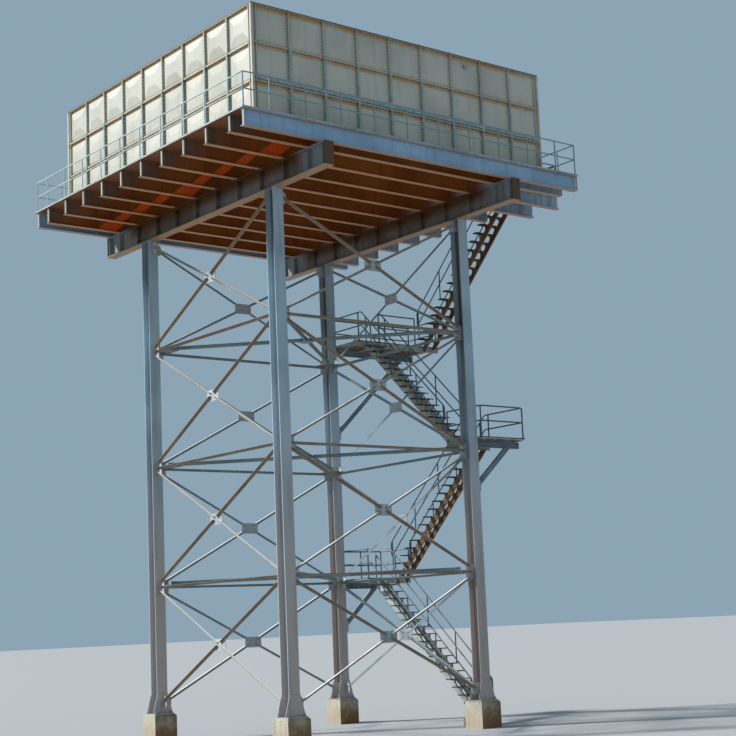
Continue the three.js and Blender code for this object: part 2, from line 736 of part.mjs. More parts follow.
/** Notched plate that ties the plan brace to the two struts of a corner and clears the column. */
function cornerPlate(sx, sy, seat) {
  const beside = GUSSET_PLATE / 2 + 1;
  const seatX = COLUMN_X - beside;
  const seatY = COLUMN_Y - beside;
  const clearX = COLUMN_X - COLUMN_WIDTH / 2 - NOTCH_CLEAR;
  const clearY = COLUMN_Y - COLUMN_DEPTH / 2 - NOTCH_CLEAR;
  const x0 = seatX - PLAN_PLATE_LENGTH;
  const y0 = seatY - PLAN_PLATE_LENGTH;
  const points = [[x0, y0], [seatX, y0], [seatX, clearY], [clearX, clearY], [clearX, seatY], [x0, seatY]];
  const outline = points.map(([x, y]) => [sx * x, FRAME_MIDDLE_Y + sy * y]);
  const turned = sx * sy > 0 ? outline : outline.reverse();
  return push(turned, PLAN_PLATE, placed([0, 0, seat], [1, 0, 0], [0, 1, 0], [0, 0, 1]));
}

/** Steps of a flight: number, rise, going and the direction it runs in along Y. */
function stepsOf(y0, z0, y1, z1) {
  const count = Math.round((z1 - z0) / RISER);
  const run = Math.abs(y1 - y0);
  const rise = (z1 - z0) / count;
  const going = run / count;
  return { count, run, rise, going, slope: rise / going, toward: Math.sign(y1 - y0) };
}

/** One stair flight in a lane; it rises from (y0, z0) to (y1, z1). */
function flight(lane, y0, z0, y1, z1, footed) {
  const [x0, x1] = lane;
  const [depth, thick] = TREAD;
  const steps = stepsOf(y0, z0, y1, z1);
  const solids = [];
  for (let i = 1; i < steps.count; i += 1) {
    const z = z0 + i * steps.rise;
    const nose = y0 + steps.toward * (TREAD_START + (i - 1) * steps.going);
    const heel = nose + steps.toward * depth;
    solids.push(block(x0, x1, Math.min(nose, heel), Math.max(nose, heel), z - thick, z));
  }
  for (const x of [x0 + STRING_LEFT_IN, x1 - STRING_RIGHT_IN - STRINGER[1]]) {
    solids.push(stringer(x, y0, z0, steps));
  }
  const handIn = HAND_SIZE / 2 + 2;
  for (const x of [x0 + handIn, x1 - handIn]) {
    solids.push(...handrail(x, y0, z0, steps));
  }
  const whole = join(solids);
  return footed ? whole.subtract(block(x0, x1, y0, y1, -z0, z0 + GAP)) : whole;
}

/** Sloping plate under a flight, with an upright stem to each tread. */
function stringer(x, y0, z0, steps) {
  const { count, run, rise, going, slope, toward } = steps;
  const [depth, thick] = TREAD;
  const drop = STRINGER[0] * Math.hypot(1, slope);
  const nosing = (s) => rise + (s - TREAD_START) * slope;
  const top = (s) => nosing(s) - thick - depth * slope - STRING_DOWN;
  const end = run - GAP;
  const low = (s) => top(s) - drop;
  const points = [[GAP, low(GAP)], [end, low(end)], [end, top(end)]];
  for (let i = count - 1; i >= 1; i -= 1) {
    const front = TREAD_START + (i - 1) * going + (depth - STEM) / 2;
    const back = front + STEM;
    const under = i * rise - thick + STEM_UP;
    points.push([back, top(back)], [back, under], [front, under], [front, top(front)]);
  }
  points.push([GAP, top(GAP)]);
  const matrix = placed([x, y0, z0], [0, toward, 0], [0, 0, 1], [toward, 0, 0]);
  if (toward < 0) {
    matrix.setPosition(x + STRINGER[1], y0, z0);
  }
  return push(points, STRINGER[1], matrix);
}

/** Two sloping rails along one side of a flight on posts that stand on its treads. */
function handrail(x, y0, z0, steps) {
  const { count, run, rise, going, slope, toward } = steps;
  const depth = TREAD[0];
  const nosing = (s) => z0 + rise + (s - TREAD_START) * slope;
  const place = (s) => y0 + toward * s;
  const from = HAND_END;
  const to = run - HAND_END;
  const solids = [];
  for (const height of HAND_HEIGHTS) {
    const start = [x, place(from), nosing(from) + height];
    solids.push(rail(start, [x, place(to), nosing(to) + height], HAND_SIZE - STEP));
  }
  const p = HAND_SIZE / 2;
  for (let k = 0; k <= HAND_SPANS; k += 1) {
    const i = 1 + Math.round(((count - 2) * k) / HAND_SPANS);
    const s = TREAD_START + (i - 1) * going + depth / 2;
    const y = place(s);
    const foot = z0 + i * rise - SINK;
    solids.push(block(x - p, x + p, y - p, y + p, foot, nosing(s) + HAND_HEIGHTS[1]));
  }
  return solids;
}

/**
 * A landing deck on shallow channels and four joists, with a deeper channel where the flights
 * meet it, guard rails and a bracket to a column.
 */
function landing(x0, x1, closedY, openY, top, rails, bracket) {
  const { channel, edge, header, sunk } = LANDING_FRAME;
  const { width, depth: joist, inset } = LANDING_JOIST;
  const upper = top - sunk;
  const under = upper - edge;
  const y0 = Math.min(closedY, openY);
  const y1 = Math.max(closedY, openY);
  const solids = [
    block(x0, x1, y0, y1, top - LANDING_DECK, top),
    block(x0, x0 + channel, y0, y1, under, upper),
    block(x1 - channel, x1, y0, y1, under, upper),
  ];
  for (const [y, side] of [[y0, y0], [y1, y1 - channel]]) {
    const depth = y === openY ? header : edge;
    solids.push(block(x0, x1, side, side + channel, upper - depth, upper));
  }
  const third = (x1 - x0) / 3;
  for (const x of [x0 + inset, x0 + third, x1 - third, x1 - inset]) {
    const w = width / 2;
    solids.push(block(x - w, x + w, y0 + SINK, y1 - SINK, upper - joist, upper));
  }
  for (const [from, to, posts] of rails) {
    solids.push(guardRail(from, to, top - SINK, posts, []));
  }
  solids.push(landingBracket(bracket, top));
  return join(solids);
}

/** Cantilever beam and raking strut that tie a landing to the open side of a column. */
function landingBracket({ y, reach, foot, tip }, top) {
  const web = COLUMN_X + COLUMN_WEB / 2 + GAP;
  const heelEnd = COLUMN_X + COLUMN_WIDTH / 2 + BRACKET_HEEL.out;
  const { width, depth, below } = BRACKET_BEAM;
  const [strutWidth, strutDepth] = BRACKET_STRUT;
  const w = width / 2;
  const p = GUSSET_PLATE / 2;
  const beamTop = top - below;
  const beamBottom = beamTop - depth;
  const beam = block(web, tip, y - w, y + w, beamBottom, beamTop);
  const start = [web + BRACKET_STRUT_IN, y, foot];
  const end = [reach, y, beamBottom + BRACKET_STRUT_UP];
  const strut = bar(start, end, strutWidth - STEP, strutDepth, [0, 1, 0]);
  const heel = block(web, heelEnd, y - p, y + p, foot - BRACKET_HEEL.down, foot + BRACKET_HEEL.up);
  const beyond = block(0, web, y - strutWidth, y + strutWidth, 0, top);
  return join([beam, strut, heel]).subtract(beyond);
}

/** Guard rails round three or four sides of a landing; a gap leaves room between two flights. */
function landingRails(x0, x1, closedY, openY, middlePosts, gap) {
  const r = LANDING_POST_IN;
  const inward = Math.sign(openY - closedY);
  const far = closedY + inward * r;
  const near = openY - inward * r;
  const length = Math.abs(near - far);
  const rails = [
    [[x0 + r, near], [x0 + r, far], [0, length]],
    [[x0 + r, far], [x1 - r, far], middlePosts],
    [[x1 - r, far], [x1 - r, near], [0, length]],
  ];
  if (gap) {
    rails.push([[gap[0], near], [gap[1], near], [0, gap[1] - gap[0]]]);
  }
  return rails;
}

/** Adds the flights, the landings and the footing of the stair. */
function addStair() {
  const [l1, l2, l3] = LANDING_LEVELS;
  const [b0, b1] = BACK_LANDING_Y;
  const [f0, f1] = FRONT_LANDING_Y;
  const [t0, t1] = TOP_LANDING_Y;
  const [gx0, gx1, gy0, gy1, gz] = FOOTING;
  const x0 = LANDING_X0;
  const x1 = LANDING_X1;
  const wide = WIDE_LANDING_X1;
  const backY = FRAME_MIDDLE_Y + COLUMN_Y;
  const frontY = FRAME_MIDDLE_Y - COLUMN_Y;
  addPart('stair_footing', block(gx0, gx1, gy0, gy1, 0, gz), FINISHES.concrete);
  addPart('flight_1', flight(INNER_LANE, FLIGHT_START_Y, gz, b0, l1, true), FINISHES.brace);
  addPart('flight_2', flight(OUTER_LANE, b0 - GAP, l1, f1 + GAP, l2, false), FINISHES.brace);
  addPart('flight_3', flight(INNER_LANE, f1 + GAP, l2, b0, l3, false), FINISHES.brace);
  addPart('flight_4', flight(TOP_LANE, b0 - GAP, l3, t1 + GAP, DECK_TOP, false), FINISHES.brace);
  const rails1 = landingRails(x0, x1, b1, b0, [(x1 - x0) / 2], null);
  const rails2 = landingRails(x0, x1, f0, f1, [], null);
  const gap = [INNER_LANE[1] + 40, TOP_LANE[0] - 40];
  const rails3 = landingRails(x0, wide, b1, b0, [(wide - x0) / 2], gap);
  const bracket1 = { y: backY, reach: 5215, foot: 3150, tip: 5660 };
  const bracket2 = { y: frontY, reach: 5215, foot: 7345, tip: 5690 };
  const bracket3 = { y: backY, reach: 6800, foot: 9880, tip: 7400 };
  addPart('landing_1', landing(x0, x1, b1, b0, l1, rails1, bracket1), FINISHES.brace);
  addPart('landing_2', landing(x0, x1, f0, f1, l2, rails2, bracket2), FINISHES.brace);
  addPart('landing_3', landing(x0, wide, b1, b0, l3, rails3, bracket3), FINISHES.brace);
  addPart('landing_top', topLanding(t0, t1), FINISHES.brace);
}

/** Top landing on the two long floor beams, with rails on its outer side and end. */
function topLanding(y0, y1) {
  const x0 = WALKWAY_EDGE + GAP;
  const x1 = LONG_BEAM_END;
  const z0 = BEAM_TOP + GAP;
  const r = TOP_LANDING_RAIL_IN;
  const base = z0 + DECK - STEP;
  const outer = [x1 - r, y0 + r];
  const solids = [
    block(x0, x1, y0, y1, z0, z0 + DECK),
    block(x1 - KERB_PLATE, x1, y0, y1, z0, z0 + KERB),
    block(x0, x1, y0, y0 + KERB_PLATE, z0, z0 + KERB),
    guardRail([x1 - r, y1 - r], outer, base, [0, TOP_LANDING_POST], [y1 - y0 - 2 * r]),
    guardRail(outer, [x0 + r, y0 + r], base, [x1 - x0 - 2 * r], []),
  ];
  return join(solids);
}

/** Builds the whole tower. */
function build() {
  for (const [name, sx, sy] of CORNERS) {
    addPart(`pedestal_${name}`, pedestal(sx, sy), FINISHES.concrete);
    addPart(`column_${name}`, column(sx, sy), FINISHES.steel);
  }
  addPart('girder_left', girder(-1), FINISHES.beam);
  addPart('girder_right', girder(1), FINISHES.beam);
  for (const { name, y, end } of beamRows()) {
    addPart(name, floorBeam(y, end), FINISHES.beam);
  }
  addTank();
  addWalkway();
  addRails();
  addBracing();
  addStair();
}

build();

export default group;
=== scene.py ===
"""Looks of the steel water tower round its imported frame: metres, Z up, the front towards -Y."""
import logging
import math
from dataclasses import dataclass
from enum import Enum

import bmesh
import bpy
from mathutils import Matrix, Vector


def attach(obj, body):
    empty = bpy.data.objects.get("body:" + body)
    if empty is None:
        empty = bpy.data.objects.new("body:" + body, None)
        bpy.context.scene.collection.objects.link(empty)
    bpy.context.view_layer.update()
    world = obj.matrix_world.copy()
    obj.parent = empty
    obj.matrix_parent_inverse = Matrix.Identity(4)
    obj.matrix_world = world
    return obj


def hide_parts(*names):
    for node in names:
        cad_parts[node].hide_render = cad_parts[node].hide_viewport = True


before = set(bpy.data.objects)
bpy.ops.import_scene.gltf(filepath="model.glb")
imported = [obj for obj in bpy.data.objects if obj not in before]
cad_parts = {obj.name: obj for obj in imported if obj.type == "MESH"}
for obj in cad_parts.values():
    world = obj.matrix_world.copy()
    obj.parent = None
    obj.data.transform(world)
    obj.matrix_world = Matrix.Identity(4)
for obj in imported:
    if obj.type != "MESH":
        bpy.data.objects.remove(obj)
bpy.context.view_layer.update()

LOG = logging.getLogger("water_tower")

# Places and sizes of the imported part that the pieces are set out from, in metres. WEB_FACE is the
# distance of a column's web face from its middle, JOINT the gap between a side wall and a corner post.
TANK_X = -0.515
TOWER_Y = 0.100
COLUMN_X = 3.590
COLUMN_Y = 3.640
COLUMN_WIDTH = 0.370
COLUMN_DEPTH = 0.390
PEDESTAL_TOP = 0.820
GIRDER_BOTTOM = 16.140
GIRDER_TOP = 16.830
BEAM_TOP = 17.330
DECK_TOP = 17.3606
PANEL = 1.220
PANELS = 9
ROWS = 3
ROW = 1.122
TANK_HALF = 5.490
WALL_BOTTOM = 17.3756
FLANGE_OUT = 0.075
LEVELS = (4.8, 8.6, 12.4)
POST_IN = 0.070
JOINT = 0.0003
WEB_FACE = 0.0105
BOLT_HEAD = (0.030, 0.020)
BOLT_NUT = (0.030, 0.024)
UP = Vector((0.0, 0.0, 1.0))
RIGHT = Vector((1.0, 0.0, 0.0))
AWAY = Vector((0.0, 1.0, 0.0))

Outline = list[tuple[float, float]]


class Slot(Enum):
    """Material slots of the record."""

    CONCRETE = "concrete"
    COLUMN = "column_steel"
    BEAM = "beam_steel"
    TANK = "tank_paint"
    DECK = "deck_steel"
    RAIL = "rail_steel"
    BRACE = "brace_steel"
    STAIR = "stair_steel"


def tone(code: str) -> tuple[float, float, float, float]:
    """Linear colour of a six-digit screen colour.

    Args:
        code: Hexadecimal red, green and blue.

    Returns:
        Red, green, blue and 1.
    """
    parts = [int(code[i:i + 2], 16) / 255 for i in (0, 2, 4)]
    line = [c / 12.92 if c <= 0.04045 else ((c + 0.055) / 1.055) ** 2.4 for c in parts]
    return (line[0], line[1], line[2], 1.0)


class Graph:
    """Short ways to add and join nodes of one shader tree."""

    def __init__(self, tree: bpy.types.NodeTree) -> None:
        """Starts on an empty tree."""
        self.tree = tree
        tree.nodes.clear()

    def add(self, kind: str, inputs: dict | None = None, **settings: object) -> bpy.types.Node:
        """Adds one node.

        Args:
            kind: Blender's name of the node, without ShaderNode.
            inputs: Values or sockets for its inputs, by name or number.
            settings: Attributes of the node.

        Returns:
            The new node.
        """
        node = self.tree.nodes.new(f"ShaderNode{kind}")
        for name, value in settings.items():
            setattr(node, name, value)
        for key, value in (inputs or {}).items():
            socket = node.inputs[key]
            if isinstance(value, bpy.types.NodeSocket):
                self.tree.links.new(value, socket)
            else:
                socket.default_value = value
        return node

    def math(self, operation: str, a: object, b: object = 0.0, clamp: bool = True) -> bpy.types.NodeSocket:
        """Result of a sum on two values, kept between 0 and 1 unless told otherwise."""
        return self.add("Math", {0: a, 1: b}, operation=operation, use_clamp=clamp).outputs[0]

    def ramp(self, value: object, low: object, high: object) -> bpy.types.NodeSocket:
        """Smooth rise from 0 to 1 between two values."""
        node = self.add(
            "MapRange", {"Value": value, "From Min": low, "From Max": high},
            interpolation_type="SMOOTHSTEP",
        )
        return node.outputs["Result"]

    def blend(self, share: object, first: object, second: object) -> bpy.types.NodeSocket:
        """Colour between two colours."""
        node = self.add("Mix", {0: share, 6: first, 7: second}, data_type="RGBA")
        return node.outputs[2]

    def place(self) -> bpy.types.NodeSocket:
        """Place on the surface, in the piece's own coordinates."""
        return self.add("TexCoord").outputs["Object"]

    def axis(self, name: str) -> bpy.types.NodeSocket:
        """One of the place's three coordinates."""
        return self.add("SeparateXYZ", {0: self.place()}).outputs[name]

    def noise(self, scale: object, detail: float) -> bpy.types.NodeSocket:
        """Soft noise of a given fineness."""
        return self.add("TexNoise", {"Vector": self.place(), "Scale": scale, "Detail": detail}).outputs["Fac"]

    def group(self, tree: bpy.types.NodeTree, output: str, **values: float) -> bpy.types.NodeSocket:
        """Output of one shared group.

        Args:
            tree: The group's tree.
            output: Name of the output.
            values: Its inputs that differ from their defaults, by name.

        Returns:
            The output's socket.
        """
        node = self.add("Group", node_tree=tree)
        for key, value in values.items():
            node.inputs[key].default_value = value
        return node.outputs[output]


class Groups:
    """Shader groups that several finishes share, each built once."""

    def __init__(self) -> None:
        """Builds every group."""
        self.blotches = self.make_blotches()
        self.streaks = self.make_streaks()
        self.wear = self.make_wear()
        self.facing = self.make_facing()
        self.grain = self.make_grain()

    @staticmethod
    def start(name: str, inputs: dict[str, float], outputs: list[str]) -> tuple[Graph, dict, object]:
        """Opens a group with number inputs and outputs.

        Args:
            name: Name of the group.
            inputs: Input names with their defaults.
            outputs: Output names.

        Returns:
            The graph, its input sockets by name, and the output node.
        """
        tree = bpy.data.node_groups.new(name, "ShaderNodeTree")
        for key, value in inputs.items():
            socket = tree.interface.new_socket(key, in_out="INPUT", socket_type="NodeSocketFloat")
            socket.default_value = value
        for key in outputs:
            tree.interface.new_socket(key, in_out="OUTPUT", socket_type="NodeSocketFloat")
        graph = Graph(tree)
        entry = tree.nodes.new("NodeGroupInput")
        leave = tree.nodes.new("NodeGroupOutput")
        return graph, {key: entry.outputs[key] for key in inputs}, leave

    def make_blotches(self) -> bpy.types.NodeTree:
        """Cloudy patches of a given size."""
        graph, given, leave = self.start("blotches", {"Scale": 1.0, "Low": 0.4, "High": 0.6}, ["Mask"])
        mask = graph.ramp(graph.noise(given["Scale"], 5.0), given["Low"], given["High"])
        graph.tree.links.new(mask, leave.inputs["Mask"])
        return graph.tree

    def make_streaks(self) -> bpy.types.NodeTree:
        """Runs of dirt drawn down a surface."""
        graph, given, leave = self.start("streaks", {"Scale": 6.0, "Low": 0.5, "High": 0.7}, ["Mask"])
        long = graph.add("Mapping", {"Vector": graph.place(), "Scale": (1.0, 1.0, 0.09)}).outputs[0]
        noise = graph.add("TexNoise", {"Vector": long, "Scale": given["Scale"], "Detail": 4.0})
        mask = graph.ramp(noise.outputs["Fac"], given["Low"], given["High"])
        graph.tree.links.new(mask, leave.inputs["Mask"])
        return graph.tree

    def make_wear(self) -> bpy.types.NodeTree:
        """Broken wear along edges."""
        graph, given, leave = self.start("edge_wear", {"Radius": 0.02, "Scale": 9.0}, ["Mask"])
        round_off = graph.add("Bevel", {"Radius": given["Radius"]}, samples=4).outputs[0]
        straight = graph.add("NewGeometry").outputs["Normal"]
        dot = graph.add("VectorMath", {0: round_off, 1: straight}, operation="DOT_PRODUCT")
        edge = graph.ramp(dot.outputs["Value"], 0.995, 0.82)
        broken = graph.ramp(graph.noise(given["Scale"], 4.0), 0.36, 0.62)
        graph.tree.links.new(graph.math("MULTIPLY", edge, broken), leave.inputs["Mask"])
        return graph.tree

    def make_facing(self) -> bpy.types.NodeTree:
        """Masks of the surfaces that face down, up and left."""
        graph, _, leave = self.start("facing", {}, ["Under", "Over", "Left"])
        normal = graph.add("NewGeometry").outputs["Normal"]
        parts = graph.add("SeparateXYZ", {0: normal})
        ways = (("Under", "Z", -0.35, -0.9), ("Over", "Z", 0.35, 0.9), ("Left", "X", -0.5, -0.9))
        for key, axis, low, high in ways:
            graph.tree.links.new(graph.ramp(parts.outputs[axis], low, high), leave.inputs[key])
        return graph.tree

    def make_grain(self) -> bpy.types.NodeTree:
        """Height of brush marks, mill scale and pits."""
        graph, given, leave = self.start("grain", {"Scale": 40.0}, ["Height"])
        fine = graph.math("MULTIPLY", graph.noise(given["Scale"], 6.0), 0.65)
        cells = graph.add("TexVoronoi", {"Vector": graph.place(), "Scale": 1.0})
        coarse = graph.math("MULTIPLY", cells.outputs["Distance"], 0.35)
        graph.tree.links.new(graph.math("ADD", fine, coarse), leave.inputs["Height"])
        return graph.tree


@dataclass(frozen=True)
class Fade:
    """Change to another colour along one axis, on all surfaces or on those that face left."""

    axis: str
    start: float
    end: float
    colour: str
    on_left: bool = False

    def mask(self, graph: Graph, left: bpy.types.NodeSocket) -> bpy.types.NodeSocket:
        """Share of the other colour.

        Args:
            graph: Graph of the material.
            left: Mask of the surfaces that face left.

        Returns:
            The mask's socket.
        """
        share = graph.ramp(graph.axis(self.axis), self.start, self.end)
        return graph.math("MULTIPLY", share, left) if self.on_left else share


@dataclass(frozen=True)
class SteelFinish:
    """Weathered paint on steel with runs, rust and dust, and painted light: a warm under colour on
    down-facing surfaces as painted ground bounce, a top colour that on some finishes is painted
    sunlight, and fades that paint light and shade along an axis.

    The numbers from streaks to above are the strength of each layer. Under a ceiling other than 0
    only the surfaces below that height take the colour of the undersides.
    """

    name: str
    paint: str
    shade: str
    streak: str = "5d5142"
    rust: str = "7a4526"
    # under: partly rust stain, partly painted warm bounce light from the ground; under_bounce is its strength
    # on down-facing surfaces.
    under: str = "6e4c31"
    # dust_and_top_light: real dust on most finishes, painted sunlight on the up-facing tops of the braces.
    dust_and_top_light: str = "a89b86"
    patch: float = 0.8
    streaks: float = 0.35
    edges: float = 0.5
    spots: float = 0.25
    under_bounce: float = 0.0
    above: float = 0.25
    rough: float = 0.55
    metal: float = 0.0
    bump: float = 0.25
    lozenge: bool = False
    seams: bool = False
    shine: float = 0.5
    ceiling: float = 0.0
    fades: tuple[Fade, ...] = ()
    # Band under the level seams: part rust stain, part painted warm bounce light and flange shadow, weaker on
    # the sunlit left faces.
    stain_and_bounce: str = "bf9a68"
    band_share: float = 0.95
    band_cut_sunlit: float = 0.45
    rusty_rough: float = 0.9
    relief: float = 0.004

    def build(self, groups: Groups) -> bpy.types.Material:
        """Makes the material.

        Args:
            groups: The shared shader groups.

        Returns:
            The finished material.
        """
        material = bpy.data.materials.new(self.name)
        material.use_nodes = True
        graph = Graph(material.node_tree)
        clouds = graph.group(groups.blotches, "Mask", Scale=self.patch, Low=0.35, High=0.68)
        runs = graph.group(groups.streaks, "Mask", Scale=5.0, Low=0.48, High=0.72)
        runs = graph.math("MULTIPLY", runs, self.streaks)
        edge = graph.group(groups.wear, "Mask", Radius=0.018, Scale=7.0)
        edge = graph.math("MULTIPLY", edge, self.edges)
        spot = graph.group(groups.blotches, "Mask", Scale=6.5, Low=0.6, High=0.72)
        spot = graph.math("MULTIPLY", spot, self.spots)
        # Painted warm ground bounce on the surfaces that face down.
        under = graph.math("MULTIPLY", graph.group(groups.facing, "Under"), self.under_bounce)
        if self.ceiling:
            under = graph.math("MULTIPLY", under, self.below(graph))
        over = graph.math("MULTIPLY", graph.group(groups.facing, "Over"), self.above)
        left = graph.group(groups.facing, "Left")
        rust = graph.math("MAXIMUM", edge, spot)
        colour = graph.blend(clouds, tone(self.paint), tone(self.shade))
        for fade in self.fades:
            colour = graph.blend(fade.mask(graph, left), colour, tone(fade.colour))
        colour = graph.blend(runs, colour, tone(self.streak))
        if self.seams:
            colour = graph.blend(self.seam_band(graph, left), colour, tone(self.stain_and_bounce))
        # Dust and, on the braces, painted sunlight on up-facing surfaces.
        colour = graph.blend(over, colour, tone(self.dust_and_top_light))
        colour = graph.blend(under, colour, tone(self.under))
        colour = graph.blend(rust, colour, tone(self.rust))
        rough = graph.add("MapRange", {"Value": rust, "To Min": self.rough, "To Max": self.rusty_rough})
        height = graph.group(groups.grain, "Height", Scale=45.0)
        height = graph.math("ADD", graph.math("MULTIPLY", height, 0.5), graph.math("MULTIPLY", rust, 0.4))
        if self.lozenge:
            height = graph.math("MAXIMUM", height, self.chequer(graph))
        bump = graph.add("Bump", {"Height": height, "Strength": self.bump, "Distance": self.relief})
        shader = graph.add("BsdfPrincipled", {
            "Base Color": colour,
            "Roughness": rough.outputs["Result"],
            "Metallic": self.metal,
            "Specular IOR Level": self.shine,
            "Normal": bump.outputs["Normal"],
        })
        graph.add("OutputMaterial", {"Surface": shader.outputs[0]})
        return material

    def below(self, graph: Graph) -> bpy.types.NodeSocket:
        """Mask of everything under the finish's ceiling."""
        return graph.ramp(graph.axis("Z"), self.ceiling + 0.05, self.ceiling - 0.05)

    def seam_band(self, graph: Graph, left: bpy.types.NodeSocket) -> bpy.types.NodeSocket:
        """Mask of the band under each level seam of the tank, part rust stain and part painted warm
        bounce light and shadow under the flange.

        Args:
            graph: Graph of the material.
            left: Mask of the surfaces that face left, where the painted band is weaker because the sun lights
                them.

        Returns:
            The mask's socket.
        """
        height = graph.math("SUBTRACT", graph.axis("Z"), WALL_BOTTOM, clamp=False)
        part = graph.math("FRACT", graph.math("DIVIDE", height, ROW, clamp=False))
        uneven = graph.ramp(graph.noise(2.6, 3.0), 0.2, 0.62)
        band = graph.math("MULTIPLY", graph.ramp(part, 0.86, 0.91), uneven)
        # The painted band is weaker on the sunlit left faces.
        sunlit_cut = graph.math("MULTIPLY", left, self.band_cut_sunlit)
        return graph.math("MULTIPLY", band, graph.math("SUBTRACT", self.band_share, sunlit_cut))

    @staticmethod
    def chequer(graph: Graph) -> bpy.types.NodeSocket:
        """Raised lozenges of a tread plate."""
        turned = graph.add("Mapping", {
            "Vector": graph.place(), "Rotation": (0.0, 0.0, math.radians(45)), "Scale": (34.0, 34.0, 34.0),
        })
        cells = graph.add("TexChecker", {"Vector": turned.outputs[0], "Scale": 1.0})
        return cells.outputs["Fac"]


@dataclass(frozen=True)
class ConcreteFinish:
    """Cast concrete with pores, dirty runs and earth stains, and painted sunlight on the faces that look
    left.
    """

    name: str = "cast_concrete"
    pale: str = "a59880"
    grey: str = "82765f"
    earth: str = "84542f"
    sunlit: str = "bcb6a3"
    dirt: str = "6f6a60"

    def build(self, groups: Groups) -> bpy.types.Material:
        """Makes the material.

        Args:
            groups: The shared shader groups.

        Returns:
            The finished material.
        """
        material = bpy.data.materials.new(self.name)
        material.use_nodes = True
        graph = Graph(material.node_tree)
        clouds = graph.group(groups.blotches, "Mask", Scale=3.2)
        runs = graph.group(groups.streaks, "Mask", Scale=9.0)
        left = graph.group(groups.facing, "Left")
        line = graph.math("MULTIPLY", graph.noise(5.0, 4.0), 0.55)
        low = graph.ramp(graph.math("SUBTRACT", graph.axis("Z"), line), 0.45, -0.05)
        colour = graph.blend(clouds, tone(self.pale), tone(self.grey))
        # Painted sunlight on the faces that look left; the earth stain is kept weaker there as part of it.
        colour = graph.blend(graph.math("MULTIPLY", left, 0.7), colour, tone(self.sunlit))
        colour = graph.blend(graph.math("MULTIPLY", runs, 0.35), colour, tone(self.dirt))
        share = graph.math("MULTIPLY", low, graph.math("SUBTRACT", 0.8, graph.math("MULTIPLY", left, 0.55)))
        colour = graph.blend(share, colour, tone(self.earth))
        pores = graph.add("TexVoronoi", {"Vector": graph.place(), "Scale": 26.0})
        pit = graph.ramp(pores.outputs["Distance"], 0.05, 0.3)
        relief = graph.math("MULTIPLY", graph.noise(14.0, 8.0), pit)
        bump = graph.add("Bump", {"Height": relief, "Strength": 0.8, "Distance": 0.012})
        shader = graph.add("BsdfPrincipled", {
            "Base Color": colour, "Roughness": 0.92, "Normal": bump.outputs["Normal"],
        })
        graph.add("OutputMaterial", {"Surface": shader.outputs[0]})
        return material


